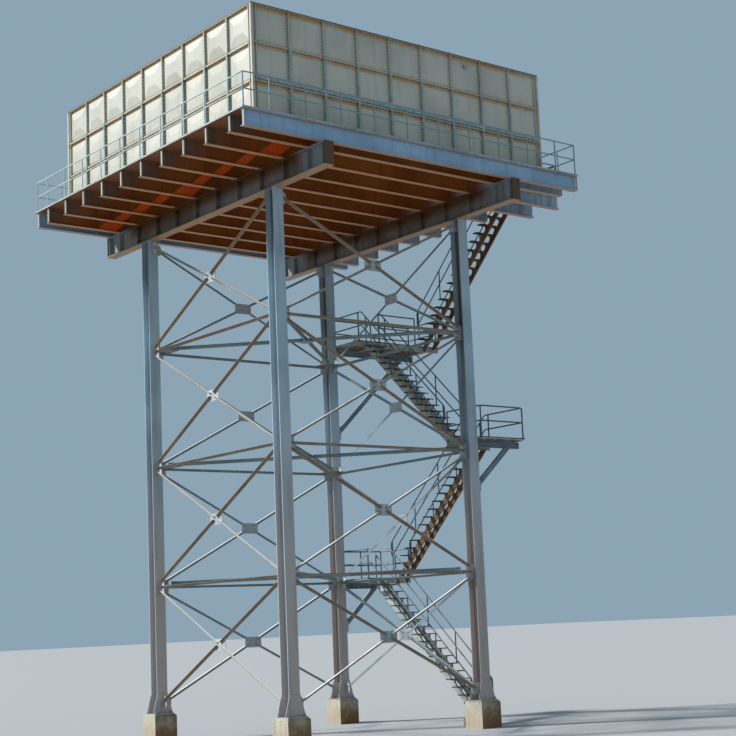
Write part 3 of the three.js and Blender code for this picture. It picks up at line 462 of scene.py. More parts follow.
class Finishes:
    """Every finish of the tower, built once."""

    def __init__(self) -> None:
        """Builds the shared groups and the materials."""
        groups = Groups()
        # In the finishes below, the under colour paints warm ground bounce on down-facing surfaces, partly
        # rust stain.
        self.concrete = ConcreteFinish().build(groups)
        self.cream = SteelFinish(
            "cream_paint", "c0bdaf", "afac9e", streak="8a8676", rust="8a6a48", dust_and_top_light="c6c0b0",
            patch=0.55, streaks=0.22, edges=0.12, spots=0.06, rough=0.5, bump=0.12, seams=True,
        ).build(groups)
        self.galvanised = SteelFinish(
            "galvanised_strip", "9fb0ad", "889996", streak="5b666c", patch=5.0, edges=0.1,
            spots=0.08, rough=0.42, metal=0.25, bump=0.15,
        ).build(groups)
        self.column = SteelFinish(
            "column_paint", "a3bac6", "8ea4b0", streak="7d756a", patch=0.5, streaks=0.3, edges=0.25,
            spots=0.12, under_bounce=0.4,
            # Painted light: warmer low down as painted ground bounce, the left faces lighter low down as
            # painted sunlight and dark near the top as painted shadow of the platform.
            fades=(
                Fade("Z", 12.0, 3.0, "aea29d"),
                Fade("Z", 12.0, 3.0, "9cafb7", on_left=True),
                Fade("Z", 12.8, 15.3, "575d60", on_left=True),
            ),
        ).build(groups)
        self.column_right = SteelFinish(
            "column_right_paint", "a3bac6", "8ea4b0", streak="7d756a", patch=0.5, streaks=0.3,
            edges=0.25, spots=0.12, under_bounce=0.4,
            # Painted light: warmer low down as painted ground bounce, the left faces dark brown higher up as
            # painted shade under the platform.
            fades=(
                Fade("Z", 12.0, 3.0, "aea29d"),
                Fade("Z", 12.0, 3.0, "8d8781", on_left=True),
                Fade("Z", 8.5, 13.0, "574d45", on_left=True),
            ),
        ).build(groups)
        self.edge_beam = SteelFinish(
            "edge_beam_paint", "94b3ce", "819fb8", under="a87c52", patch=0.6, streaks=0.25, edges=0.25,
            spots=0.15, under_bounce=0.9,
        ).build(groups)
        # Painted light: the brown body is painted shade and warm ground bounce under the tank, the blue-grey
        # right ends are the paint where the beams stand out into the open, and darker grey-brown towards the
        # left ends.
        self.beam = SteelFinish(
            "beam_paint", "9c5a26", "82481e", streak="4f3620", under="b58a60", patch=0.6,
            streaks=0.4, edges=0.2, spots=0.35, under_bounce=0.9, shine=0.2, ceiling=17.0,
            fades=(Fade("X", 3.2, 3.9, "94a9b8"), Fade("X", -5.7, -7.0, "63574e")),
        ).build(groups)
        # Painted light: the upper web dark brown as painted shade, grey ends where the web sees the sky, the
        # front end plate dark brown as painted shade, and the bottom flange tan as painted ground bounce.
        self.girder = SteelFinish(
            "girder_paint", "7c7a78", "63574a", streak="4a3a2a", under="a8825c", patch=0.7,
            streaks=0.45, edges=0.15, spots=0.35, under_bounce=0.85, shine=0.2, ceiling=16.5,
            fades=(
                Fade("Z", 16.35, 16.75, "54361a"),
                Fade("Y", -4.6, -5.4, "848a8c"),
                Fade("Y", 4.6, 5.4, "848a8c"),
                Fade("Y", -6.30, -6.33, "5f4630"),
            ),
        ).build(groups)
        # Partly rust-coloured paint, partly painted warm bounce light from the ground.
        self.soffit = SteelFinish(
            "soffit_brown", "943806", "7b2f06", rust="74401c", under="943806", patch=0.7,
            streaks=0.1, edges=0.3, spots=0.5, rough=0.8, shine=0.1,
        ).build(groups)
        self.primer = SteelFinish(
            "red_primer", "ff6e28", "f06422", rust="a04a1c", patch=2.0, streaks=0.1, edges=0.0,
            spots=0.2, rough=0.7, shine=0.2,
        ).build(groups)
        # Painted light: orange undersides as painted soil bounce and near-white tops as painted sunlight.
        self.brace = SteelFinish(
            "brace_paint", "948e80", "7d776a", streak="6a5a44", under="9a6f42", dust_and_top_light="ece8e0", patch=1.4,
            streaks=0.25, edges=0.2, spots=0.3, under_bounce=0.85, above=0.85,
        ).build(groups)
        # The darker blue-grey is the brace paint with painted shade, seen from the unlit side; near-white
        # tops as painted sunlight.
        self.far_brace = SteelFinish(
            "far_brace_paint", "7d8c8d", "69787a", streak="5c574c", under="6e6a5c", dust_and_top_light="ece8e0", patch=1.4,
            streaks=0.2, edges=0.12, spots=0.25, under_bounce=0.6, above=0.85,
        ).build(groups)
        self.bracket = SteelFinish(
            "bracket_paint", "6f808c", "5e6e79", streak="4f4a42", under="6a5c4c", patch=1.4,
            streaks=0.2, edges=0.15, spots=0.25, under_bounce=0.6,
        ).build(groups)
        self.gusset = SteelFinish(
            "gusset_paint", "adb4b8", "989fa3", streak="7d7468", patch=1.8, streaks=0.2, edges=0.25,
            spots=0.25,
        ).build(groups)
        self.stair = SteelFinish(
            "stair_paint", "aab0aa", "8f958f", streak="6b5c48", under="8f6a48", patch=1.8,
            streaks=0.25, edges=0.2, spots=0.3, under_bounce=0.7,
        ).build(groups)
        self.stair_shade = SteelFinish(
            "stair_shade_paint", "7a5c3e", "5c4226", streak="3d2e1f", under="a8682f", patch=1.8,
            streaks=0.3, edges=0.3, spots=0.4, under_bounce=0.8,
        ).build(groups)
        self.tread = SteelFinish(
            "tread_plate", "43413e", "343230", under="5a3820", dust_and_top_light="7b6c58", patch=2.2, edges=0.25,
            spots=0.4, under_bounce=0.8, above=0.4, rough=0.62, bump=0.6, lozenge=True,
        ).build(groups)
        self.deck = SteelFinish(
            "deck_plate", "a5adaf", "8f979a", under="7d4a22", dust_and_top_light="a89d88", patch=1.2, edges=0.35,
            spots=0.2, under_bounce=0.97, above=0.5, bump=0.5, lozenge=True,
        ).build(groups)
        # The stair handrails take the rails' paint darkened as painted shade under the tank.
        self.rail = SteelFinish(
            "rail_paint", "4a6068", "3b4f57", patch=2.5, streaks=0.2, edges=0.2, spots=0.2,
            rough=0.45, metal=0.1, bump=0.12,
        ).build(groups)
        # The front line of guard rails turns teal as painted shade.
        self.guard = SteelFinish(
            "guard_rail_paint", "b6c6c3", "9fb0ad", streak="6f7a7c", patch=2.5, streaks=0.2, edges=0.15,
            spots=0.15, rough=0.45, bump=0.12, fades=(Fade("Y", -5.9, -6.1, "7b979c"),),
        ).build(groups)
        self.roof = SteelFinish(
            "roof_sheet", "4a5855", "3f4c4a", streak="5d5a50", dust_and_top_light="8d887a", patch=0.6, edges=0.1,
            spots=0.15, above=0.4, rough=0.6,
        ).build(groups)
        self.bolt = SteelFinish(
            "bolt_zinc", "a9aca8", "8b8d88", patch=6.0, streaks=0.0, edges=0.15, spots=0.3,
            rough=0.4, metal=0.5, bump=0.1,
        ).build(groups)
        self.seam_bolt = SteelFinish(
            "seam_bolt", "6b665b", "57524a", patch=6.0, streaks=0.0, edges=0.1, spots=0.4,
            rough=0.6, metal=0.2, bump=0.1,
        ).build(groups)


class Piece:
    """One finished piece, grown in layers with one material each."""

    def __init__(self, name: str, slot: Slot, crease: float = 32.0) -> None:
        """Starts an empty piece.

        Args:
            name: Name of the piece.
            slot: The record's material slot, kept on the piece; its finishes come from its layers.
            crease: Angle in degrees above which an edge stays sharp.
        """
        self.name = name
        self.slot = slot
        self.crease = crease
        self.layers: list[tuple[bpy.types.Material, bmesh.types.BMesh]] = []

    def layer(self, material: bpy.types.Material) -> bmesh.types.BMesh:
        """Opens the layer of one material, or finds it again."""
        for known, bm in self.layers:
            if known == material:
                return bm
        bm = bmesh.new()
        self.layers.append((material, bm))
        return bm

    def finish(self, *replaced: str) -> bpy.types.Object:
        """Joins the layers in one object that rides on the frame.

        Args:
            replaced: CAD nodes that the piece stands for.

        Returns:
            The finished object.
        """
        whole = bmesh.new()
        mesh = bpy.data.meshes.new(self.name)
        for index, (material, bm) in enumerate(self.layers):
            bmesh.ops.recalc_face_normals(bm, faces=bm.faces)
            for face in bm.faces:
                face.material_index = index
                face.smooth = True
            part = bpy.data.meshes.new("layer")
            bm.to_mesh(part)
            bm.free()
            whole.from_mesh(part)
            bpy.data.meshes.remove(part)
            mesh.materials.append(material)
        whole.to_mesh(mesh)
        whole.free()
        mesh.set_sharp_from_angle(angle=math.radians(self.crease))
        piece = bpy.data.objects.new(self.name, mesh)
        bpy.context.scene.collection.objects.link(piece)
        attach(piece, "root")
        if replaced:
            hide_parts(*replaced)
        LOG.info("piece %s: %d faces", self.name, len(mesh.polygons))
        return piece


def basis(origin: Vector, x: Vector, y: Vector, z: Vector) -> Matrix:
    """Matrix that sets local X, Y and Z on three directions from an origin."""
    return Matrix.Translation(origin) @ Matrix((x, y, z)).transposed().to_4x4()


def prism(bm: bmesh.types.BMesh, outline: Outline, start: Vector, end: Vector, side: Vector) -> None:
    """Pushes a flat outline along a straight line.

    Args:
        bm: Mesh that the shape is added to.
        outline: Points across the line; the first number runs along side.
        start: Start of the line.
        end: End of the line.
        side: Direction that the outline's first number follows.
    """
    along = end - start
    z = along.normalized()
    x = (side - z * side.dot(z)).normalized()
    place = basis(start, x, z.cross(x), z)
    corners = [bm.verts.new(place @ Vector((a, b, 0.0))) for a, b in outline]
    face = bm.faces.new(corners)
    pushed = bmesh.ops.extrude_face_region(bm, geom=[face])["geom"]
    moved = [part for part in pushed if isinstance(part, bmesh.types.BMVert)]
    bmesh.ops.translate(bm, verts=moved, vec=along)


def box(bm: bmesh.types.BMesh, low: Vector, high: Vector, bevel: float = 0.0) -> None:
    """Adds a box between two corners.

    Args:
        bm: Mesh that the box is added to.
        low: Lowest corner.
        high: Highest corner.
        bevel: Width of the edges' chamfer.
    """
    size = high - low
    place = Matrix.Translation((low + high) / 2) @ Matrix.Diagonal((*size, 1.0))
    made = bmesh.ops.create_cube(bm, size=1.0, matrix=place)
    if bevel:
        edges = list({edge for vert in made["verts"] for edge in vert.link_edges})
        bmesh.ops.bevel(
            bm, geom=edges, offset=bevel, segments=1, profile=0.5, affect="EDGES", material=-1,
        )


def bolt(bm: bmesh.types.BMesh, at: Vector, axis: Vector, width: float, height: float) -> None:
    """Adds a hexagon head that stands on a surface.

    Args:
        bm: Mesh that the head is added to.
        at: Foot of the head.
        axis: Direction that it stands in.
        width: Size across its flats.
        height: Height of the head.
    """
    turn = axis.to_track_quat("Z", "Y").to_matrix().to_4x4()
    place = Matrix.Translation(at + axis * (height / 2)) @ turn
    radius = width / math.sqrt(3)
    bmesh.ops.create_cone(
        bm, cap_ends=True, segments=6, radius1=radius, radius2=radius * 0.94, depth=height, matrix=place,
    )


def nut(bm: bmesh.types.BMesh, at: Vector, axis: Vector, width: float, height: float) -> None:
    """Adds a washer, a nut and the end of its bolt.

    Args:
        bm: Mesh that the shapes are added to.
        at: Foot of the nut.
        axis: Direction that it stands in.
        width: Size across its flats.
        height: Height of the nut.
    """
    turn = axis.to_track_quat("Z", "Y").to_matrix().to_4x4()
    washer = Matrix.Translation(at + axis * (height * 0.08)) @ turn
    bmesh.ops.create_cone(
        bm, cap_ends=True, segments=14, radius1=width * 0.85, radius2=width * 0.85,
        depth=height * 0.16, matrix=washer,
    )
    bolt(bm, at + axis * height * 0.16, axis, width, height)
    stub = Matrix.Translation(at + axis * height * 1.4) @ turn
    bmesh.ops.create_cone(
        bm, cap_ends=True, segments=10, radius1=width * 0.32, radius2=width * 0.28,
        depth=height * 0.7, matrix=stub,
    )


def rounded(run: list[Vector], corner: float) -> list[Vector]:
    """Points of a line with its corners turned into short curves.

    Args:
        run: Corner points.
        corner: Length that each curve takes from its two sides.

    Returns:
        Points along the softened line.
    """
    points = [run[0]]
    for before, here, after in zip(run, run[1:], run[2:]):
        reach = min(corner, (here - before).length / 2.1, (after - here).length / 2.1)
        first = here + (before - here).normalized() * reach
        last = here + (after - here).normalized() * reach
        for step in range(6):
            t = step / 5
            points.append(first * (1 - t) ** 2 + here * (2 * t * (1 - t)) + last * t ** 2)
    points.append(run[-1])
    return points


def tubes(bm: bmesh.types.BMesh, runs: list[list[Vector]], radius: float, corner: float = 0.11) -> None:
    """Adds round tubes along lines.

    Args:
        bm: Mesh that the tubes are added to.
        runs: Corner points of each tube.
        radius: Radius of the tubes.
        corner: Size of their bends.
    """
    curve = bpy.data.curves.new("run", "CURVE")
    curve.dimensions = "3D"
    curve.bevel_depth = radius
    curve.bevel_resolution = 2
    curve.use_fill_caps = True
    for run in runs:
        points = rounded(run, corner)
        spline = curve.splines.new("POLY")
        spline.points.add(len(points) - 1)
        for knot, place in zip(spline.points, points):
            knot.co = (*place, 1.0)
    holder = bpy.data.objects.new("run", curve)
    mesh = bpy.data.meshes.new_from_object(holder)
    bm.from_mesh(mesh)
    bpy.data.objects.remove(holder)
    bpy.data.curves.remove(curve)
    bpy.data.meshes.remove(mesh)


def strip(width: float, thickness: float) -> Outline:
    """Outline of a flat bar about its middle."""
    w, t = width / 2, thickness / 2
    return [(-w, -t), (w, -t), (w, t), (-w, t)]


def channel(depth: float, flange: float, wall: float) -> Outline:
    """Outline of a channel; its back is on 0 and its flanges point along the first axis."""
    h = depth / 2
    return [
        (0.0, -h), (flange, -h), (flange, wall - h), (wall, wall - h),
        (wall, h - wall), (flange, h - wall), (flange, h), (0.0, h),
    ]


def beam(width: float, depth: float, flange: float, web: float) -> Outline:
    """Outline of an I section, its flanges square to the second axis."""
    f, h, w = width / 2, depth / 2, web / 2
    t = h - flange
    return [
        (-f, -h), (f, -h), (f, -t), (w, -t), (w, t), (f, t),
        (f, h), (-f, h), (-f, t), (-w, t), (-w, -t), (-f, -t),
    ]


def angle(leg: float, other: float, wall: float) -> Outline:
    """Outline of an angle with its corner on 0."""
    return [(0.0, 0.0), (leg, 0.0), (leg, wall), (wall, wall), (wall, other), (0.0, other)]


def spaced(first: float, last: float, count: int) -> list[float]:
    """Evenly spaced numbers, both ends included."""
    return [first + (last - first) * i / (count - 1) for i in range(count)]


class Side(Enum):
    """The four sides, with the direction that each faces."""

    FRONT = (0.0, -1.0)
    BACK = (0.0, 1.0)
    LEFT = (-1.0, 0.0)
    RIGHT = (1.0, 0.0)

    @property
    def outward(self) -> Vector:
        """Direction that the side faces."""
        return Vector((*self.value, 0.0))

    @property
    def along(self) -> Vector:
        """Direction that runs along the side, to the right seen from outside."""
        return UP.cross(self.outward)

    @property
    def word(self) -> str:
        """Name of the side in lower case."""
        return self.name.lower()


@dataclass
class TankWall:
    """One wall of pressed panels with flanges, bolts, strips and corner angles.

    Lengths along the wall are called u, up from its bottom v and outward from its skin w.
    """

    side: Side
    finishes: Finishes
    half: float = TANK_HALF
    corners: bool = True
    plate: float = 0.045
    margin: float = 0.085
    slope: float = 0.022
    step: float = 0.014
    boss: float = 0.27
    rise: float = 0.058
    lower: float = 0.45
    crease: float = 0.02
    leaf: float = 0.020
    gap: float = 0.004
    root: float = -0.01
    set_back: float = 0.004
    rim: float = 0.013
    groove: float = 0.075
    pitch: int = 10
    strip_size: tuple[float, float, float] = (0.066, 0.030, 0.007)
    strip_ends: tuple[float, float] = (0.03, 0.06)
    strip_out: float = 0.012
    cleat: tuple[float, float] = (0.05, 0.02)
    rail_size: tuple[float, float, float] = (0.085, 0.032, 0.006)
    rail_up: float = 0.090
    rail_out: float = 0.014
    post_back: float = 0.069
    corner_leg: float = 0.065
    corner_lap: float = 0.009

    def at(self, u: float, v: float, w: float) -> Vector:
        """Place from lengths along, up and outward of the wall."""
        origin = Vector((TANK_X, 0.0, WALL_BOTTOM)) + self.side.outward * TANK_HALF
        return origin + self.side.along * u + UP * v + self.side.outward * w

    def block(self, bm: bmesh.types.BMesh, low: tuple, high: tuple, bevel: float = 0.0) -> None:
        """Adds a box given along, up and outward of the wall."""
        a, b = self.at(*low), self.at(*high)
        box(bm, Vector(map(min, a, b)), Vector(map(max, a, b)), bevel)

    def panels(self, bm: bmesh.types.BMesh) -> None:
        """Presses the panels in one sheet and gives the sheet its thickness."""
        height = ROWS * ROW
        sheet = bmesh.new()
        bmesh.ops.create_grid(sheet, x_segments=PANELS, y_segments=ROWS, size=0.5)
        bmesh.ops.scale(sheet, verts=sheet.verts, vec=(2 * TANK_HALF, height, 1.0))
        panels = list(sheet.faces)
        bmesh.ops.inset_individual(sheet, faces=panels, thickness=self.margin, use_even_offset=True)
        bmesh.ops.inset_individual(
            sheet, faces=panels, thickness=self.slope, depth=self.step, use_even_offset=True,
        )
        top = [face for face in panels if face.calc_center_median().y > height / 2 - ROW]
        low = [face for face in panels if face not in top]
        for faces, depth in ((top, self.rise), (low, self.rise * self.lower)):
            bmesh.ops.inset_individual(
                sheet, faces=faces, thickness=self.boss, depth=depth, use_even_offset=True,
            )
        creases = list({edge for face in panels for edge in face.edges})
        bmesh.ops.bevel(
            sheet, geom=creases, offset=self.crease, segments=1, profile=0.5, affect="EDGES", material=-1,
        )
        if self.half < TANK_HALF:
            self.trim(sheet)
        rim = [edge for edge in sheet.edges if edge.is_boundary]
        pushed = bmesh.ops.extrude_edge_only(sheet, edges=rim)["geom"]
        moved = [part for part in pushed if isinstance(part, bmesh.types.BMVert)]
        bmesh.ops.translate(sheet, verts=moved, vec=(0.0, 0.0, -self.plate))
        bmesh.ops.holes_fill(sheet, edges=[edge for edge in sheet.edges if edge.is_boundary])
        place = basis(self.at(0.0, height / 2, 0.0), self.side.along, UP, self.side.outward)
        bmesh.ops.transform(sheet, matrix=place, verts=sheet.verts)
        part = bpy.data.meshes.new("sheet")
        sheet.to_mesh(part)
        sheet.free()
        bm.from_mesh(part)
        bpy.data.meshes.remove(part)

    def trim(self, sheet: bmesh.types.BMesh) -> None:
        """Cuts the sheet's two ends where the corner posts of its neighbours stand."""
        for end in (-1.0, 1.0):
            parts = [*sheet.verts, *sheet.edges, *sheet.faces]
            bmesh.ops.bisect_plane(
                sheet, geom=parts, plane_co=(end * self.half, 0.0, 0.0), plane_no=(end, 0.0, 0.0),
                clear_outer=True,
            )

    def flanges(self, bm: bmesh.types.BMesh) -> None:
        """Adds the turned-out edges of the panels, two leaves at each seam and one at each corner."""
        thick = self.leaf + self.gap / 2
        height = ROWS * ROW
        pair = [(-thick, -self.gap / 2), (self.gap / 2, thick)]
        for i in range(PANELS + 1):
            u = -TANK_HALF + i * PANEL
            if i in (0, PANELS):
                end = math.copysign(TANK_HALF - self.groove, u)
                inner = end - math.copysign(self.leaf, u)
                self.block(bm, (inner, 0.0, self.root), (end, height, FLANGE_OUT))
                continue
            for a, b in pair:
                self.block(bm, (u + a, 0.0, self.root), (u + b, height, FLANGE_OUT - self.set_back))
        single = {0: [(0.0, self.rim)], ROWS: [(-self.rim, 0.0)]}
        for row in range(ROWS + 1):
            v = row * ROW
            for i in range(PANELS):
                u0 = max(-self.half, -TANK_HALF + i * PANEL + thick * (i > 0))
                u1 = min(self.half, -TANK_HALF + (i + 1) * PANEL - thick * (i < PANELS - 1))
                for a, b in single.get(row, pair):
                    self.block(bm, (u0, v + a, self.root), (u1, v + b, FLANGE_OUT))

    def fasteners(self, bm: bmesh.types.BMesh) -> None:
        """Adds the seam bolts, a head on one leaf and a nut on the other."""
        thick = self.leaf + self.gap / 2
        mid = FLANGE_OUT * 0.58
        along = self.side.along
        steps = [(k + 0.5) / self.pitch for k in range(self.pitch)]
        for i in range(1, PANELS):
            u = -TANK_HALF + i * PANEL
            for v in [(row + s) * ROW for row in range(ROWS) for s in steps]:
                bolt(bm, self.at(u - thick, v, mid), -along, *BOLT_HEAD)
                bolt(bm, self.at(u + thick, v, mid), along, *BOLT_NUT)
        for row in range(ROWS + 1):
            v = row * ROW
            for u in [-TANK_HALF + (i + s) * PANEL for i in range(PANELS) for s in steps]:
                if row > 0:
                    bolt(bm, self.at(u, v - thick, mid), -UP, *BOLT_HEAD)
                if row < ROWS:
                    bolt(bm, self.at(u, v + thick, mid), UP, *BOLT_NUT)

    def strips(self, bm: bmesh.types.BMesh) -> None:
        """Adds the upright strips on the two lower rows and, front and back, the long rail across them."""
        outward = self.side.outward
        foot, head = self.strip_ends
        half, thick = self.cleat
        w = FLANGE_OUT + self.strip_out
        for i in range(1, PANELS):
            u = -TANK_HALF + i * PANEL
            prism(bm, channel(*self.strip_size), self.at(u, foot, w), self.at(u, 2 * ROW + head, w), -outward)
            for v in (ROW, 2 * ROW):
                high = (u + half, v + half, FLANGE_OUT + thick)
                self.block(bm, (u - half, v - half, FLANGE_OUT), high, 0.004)
        if not self.corners:
            return
        w = FLANGE_OUT + self.rail_out
        left, right = (self.at(sign * (self.half - 0.03), ROW + self.rail_up, w) for sign in (-1, 1))
        prism(bm, channel(*self.rail_size), left, right, -outward)

    def corner_posts(self, bm: bmesh.types.BMesh) -> None:
        """Adds the posts that close the tank's corners and the angles over them."""
        height = ROWS * ROW
        for sign in (-1, 1):
            inner, outer = sign * (TANK_HALF - POST_IN), sign * (TANK_HALF + FLANGE_OUT)
            leg = outer - sign * self.corner_leg
            self.block(bm, (inner, 0.0, -self.post_back), (leg, height, FLANGE_OUT - self.corner_leg))
            self.block(bm, (leg, 0.0, 0.0), (outer + sign * self.corner_lap, height, FLANGE_OUT))

    def build(self) -> list[bpy.types.Object]:
        """Builds the wall and its fasteners and strips."""
        wall = Piece(f"wall_{self.side.word}_panels", Slot.TANK, crease=2.0)
        skin = wall.layer(self.finishes.cream)
        self.panels(skin)
        self.flanges(skin)
        if self.corners:
            self.corner_posts(skin)
        bolts = Piece(f"wall_{self.side.word}_bolts", Slot.TANK)
        self.fasteners(bolts.layer(self.finishes.seam_bolt))
        strips = Piece(f"wall_{self.side.word}_strips", Slot.TANK)
        self.strips(strips.layer(self.finishes.galvanised))
        return [wall.finish(f"tank_wall_{self.side.word}"), bolts.finish(), strips.finish()]


@dataclass
class TankFittings:
    """Overflow stub, roof bolts and hatch hardware."""

    finishes: Finishes
    stub: tuple[float, float] = (2.40, 20.45)
    stub_radius: float = 0.045
    stub_out: float = 0.13
    collar_radius: float = 0.075
    collar: tuple[float, float] = (0.11, 0.135)
    roof_top: float = 20.782
    roof_reach: float = 5.35
    roof_bolts: int = 30
    off_seam: float = 0.045
    hatch: tuple[float, float] = (3.66, -3.66)
    lid_up: float = 0.15
    hinges: tuple[float, float] = (-0.28, 0.18)

    def build(self) -> list[bpy.types.Object]:
        """Builds the small fittings of the tank."""
        fittings = Piece("tank_fittings", Slot.TANK)
        metal = fittings.layer(self.finishes.bolt)
        x, z = TANK_X + self.stub[0], self.stub[1]
        wall = -TANK_HALF
        tubes(metal, [[Vector((x, wall, z)), Vector((x, wall - self.stub_out, z))]], self.stub_radius)
        near, far = (Vector((x, wall - out, z)) for out in self.collar)
        tubes(metal, [[near, far]], self.collar_radius)
        for i in range(1, PANELS):
            u = TANK_X - TANK_HALF + i * PANEL
            for y in spaced(-self.roof_reach, self.roof_reach, self.roof_bolts):
                for side in (-1, 1):
                    bolt(metal, Vector((u + side * self.off_seam, y, self.roof_top)), UP, 0.028, 0.014)
        hx, hy = TANK_X + self.hatch[0], self.hatch[1]
        lid = self.roof_top + self.lid_up
        for off in self.hinges:
            low = Vector((hx + off, hy + 0.40, lid - 0.10))
            high = Vector((hx + off + 0.10, hy + 0.46, lid + 0.035))
            box(metal, low, high, 0.006)
        return [fittings.finish()]


@dataclass
class PrimedWebs:
    """Red primer on the front faces of the floor beams' webs, just outside the left girder."""

    finishes: Finishes
    narrow: tuple[float, float] = (-4.61, -4.25)
    wide: tuple[float, float] = (-4.55, -3.88)
    lean: float = 0.50
    wide_rows: tuple[int, ...] = (1, 5, 9)
    web: float = 0.009
    bottom: float = 16.88
    top: float = 17.3055
    sunk: float = 0.001
    coat: float = 0.002

    def build(self) -> list[bpy.types.Object]:
        """Builds one thin coat on each floor beam."""
        coats = Piece("primed_webs", Slot.BEAM)
        bm = coats.layer(self.finishes.primer)
        for row in range(1, PANELS + 1):
            y = -TANK_HALF + row * PANEL - self.web
            start, end = (TANK_X + x for x in (self.wide if row in self.wide_rows else self.narrow))
            outline = [
                (start, self.bottom), (end, self.bottom),
                (end + self.lean, self.top), (start + self.lean, self.top),
            ]
            prism(bm, outline, AWAY * (y + self.sunk), AWAY * (y - self.coat), RIGHT)
        return [coats.finish()]


@dataclass
class SideFrame:
    """Struts, crossed diagonals and gussets of one tower side."""

    side: Side
    finishes: Finishes
    feet: float = 1.15
    head: float = 15.95
    leg: float = 0.075
    wall: float = 0.008
    half_gusset: float = 0.007
    end_in: float = 0.06
    off_strut: float = 0.155
    cut: float = 0.10
    middle: tuple[float, float, float] = (0.64, 0.35, 0.04)
    free: tuple[float, float] = (0.02, 0.04)
    gusset_up: float = 0.24
    gusset_end: float = 0.12
    gusset_in: float = 0.215
    gusset_cut: float = 0.065
    shoe: float = 0.022
    arm_bolts: tuple[float, ...] = (0.04, 0.11, 0.18)
    strut_bolts: tuple[float, ...] = (0.05, 0.13, 0.21)
    top_bolts: tuple[float, ...] = (0.10, 0.22, 0.34)
    packs: tuple[float, ...] = (-2.4, -1.2, 0.0, 1.2, 2.4)
    pack_size: tuple[float, float] = (0.08, 0.07)

    @property
    def is_end(self) -> bool:
        """True on the front and back sides, where the frame meets the columns' webs."""
        return self.side in (Side.FRONT, Side.BACK)

    @property
    def reach(self) -> float:
        """Half length of the frame at the gussets."""
        return COLUMN_X - WEB_FACE if self.is_end else COLUMN_Y - COLUMN_DEPTH / 2 - 0.0005

    @property
    def clear(self) -> float:
        """Half length of the frame at the struts."""
        return COLUMN_X - COLUMN_WIDTH / 2 - self.free[0] if self.is_end else self.reach - self.free[1]

    def at(self, u: float, z: float, w: float = 0.0) -> Vector:
        """Place from lengths along, up and outward of the frame."""
        far = COLUMN_Y if self.is_end else COLUMN_X
        origin = Vector((TANK_X, TOWER_Y, 0.0)) + self.side.outward * far
        return origin + self.side.along * u + UP * z + self.side.outward * w

    def bar(self, bm: bmesh.types.BMesh, start: tuple, end: tuple, sign: int) -> None:
        """Adds an angle: one leg hangs on a face of the gussets, the other points away at its top.

        Args:
            bm: Mesh that the angle is added to.
            start: Along and up at one end of its middle line.
            end: The same at its other end.
            sign: 1 on the outer face of the gussets, -1 on the inner face.
        """
        w = sign * self.half_gusset
        a, b = self.at(*start, w), self.at(*end, w)
        across = self.side.outward * sign
        if (b - a).cross(across).z > 0.0:
            a, b = b, a
        half = self.leg / 2
        outline = [(p, q - half) for p, q in angle(self.leg, self.leg, self.wall)]
        prism(bm, outline, a, b, across)

    def plate(self, bm: bmesh.types.BMesh, outline: Outline) -> None:
        """Adds a gusset given along and up."""
        prism(
            bm, outline, self.at(0.0, 0.0, -self.half_gusset), self.at(0.0, 0.0, self.half_gusset),
            self.side.along,
        )

    def end_outline(self, sign: int, z: float) -> Outline:
        """Outline of the gusset at a column."""
        down = self.gusset_end if z == self.feet else self.gusset_up
        up = self.gusset_end if z == self.head else self.gusset_up
        edge = self.reach
        if z == self.feet and not self.is_end:
            edge -= self.shoe
        inner, cut = self.clear - self.gusset_in, self.gusset_cut
        points = [
            (edge, z - down), (edge, z + up), (inner + cut, z + up),
            (inner, z + up - cut), (inner, z - down + cut), (inner + cut, z - down),
        ]
        return [(sign * u, v) for u, v in points]

    def middle_outline(self, z: float) -> Outline:
        """Outline of the gusset where two diagonals cross."""
        a, b, c = self.middle[0] / 2, self.middle[1] / 2, self.middle[2]
        return [
            (-a + c, z - b), (a - c, z - b), (a, z - b + c), (a, z + b - c),
            (a - c, z + b), (-a + c, z + b), (-a, z + b - c), (-a, z - b + c),
        ]

    def bolts(self, bm: bmesh.types.BMesh, start: tuple, toward: tuple, distances: tuple[float, ...]) -> None:
        """Adds bolts through a member, heads out and nuts in.

        Args:
            bm: Mesh that the bolts are added to.
            start: Along and up at one end of the member.
            toward: The same at its other end.
            distances: How far from the start each bolt stands.
        """
        run = Vector((toward[0] - start[0], toward[1] - start[1]))
        step = run.normalized()
        for distance in distances:
            u, z = start[0] + step.x * distance, start[1] + step.y * distance
            bolt(bm, self.at(u, z, self.half_gusset + self.wall), self.side.outward, *BOLT_HEAD)
            bolt(bm, self.at(u, z, -self.half_gusset), -self.side.outward, *BOLT_NUT)

    def tier(self, steel: bmesh.types.BMesh, zinc: bmesh.types.BMesh, low: float, high: float) -> None:
        """Adds the four arms that cross in one tier.

        Args:
            steel: Layer of the members.
            zinc: Layer of the bolts.
            low: Height of their lower ends.
            high: Height of their upper ends.
        """
        u = self.clear - self.end_in
        centre = (low + high) / 2
        rest = self.cut / math.hypot(u, high - centre)
        for sign in (-1, 1):
            for z in (low, high):
                inner = (sign * u * rest, centre + (z - centre) * rest)
                outer = (sign * u, z)
                self.bar(steel, inner, outer, 1)
                self.bolts(zinc, inner, outer, self.arm_bolts)
                self.bolts(zinc, outer, inner, self.arm_bolts)

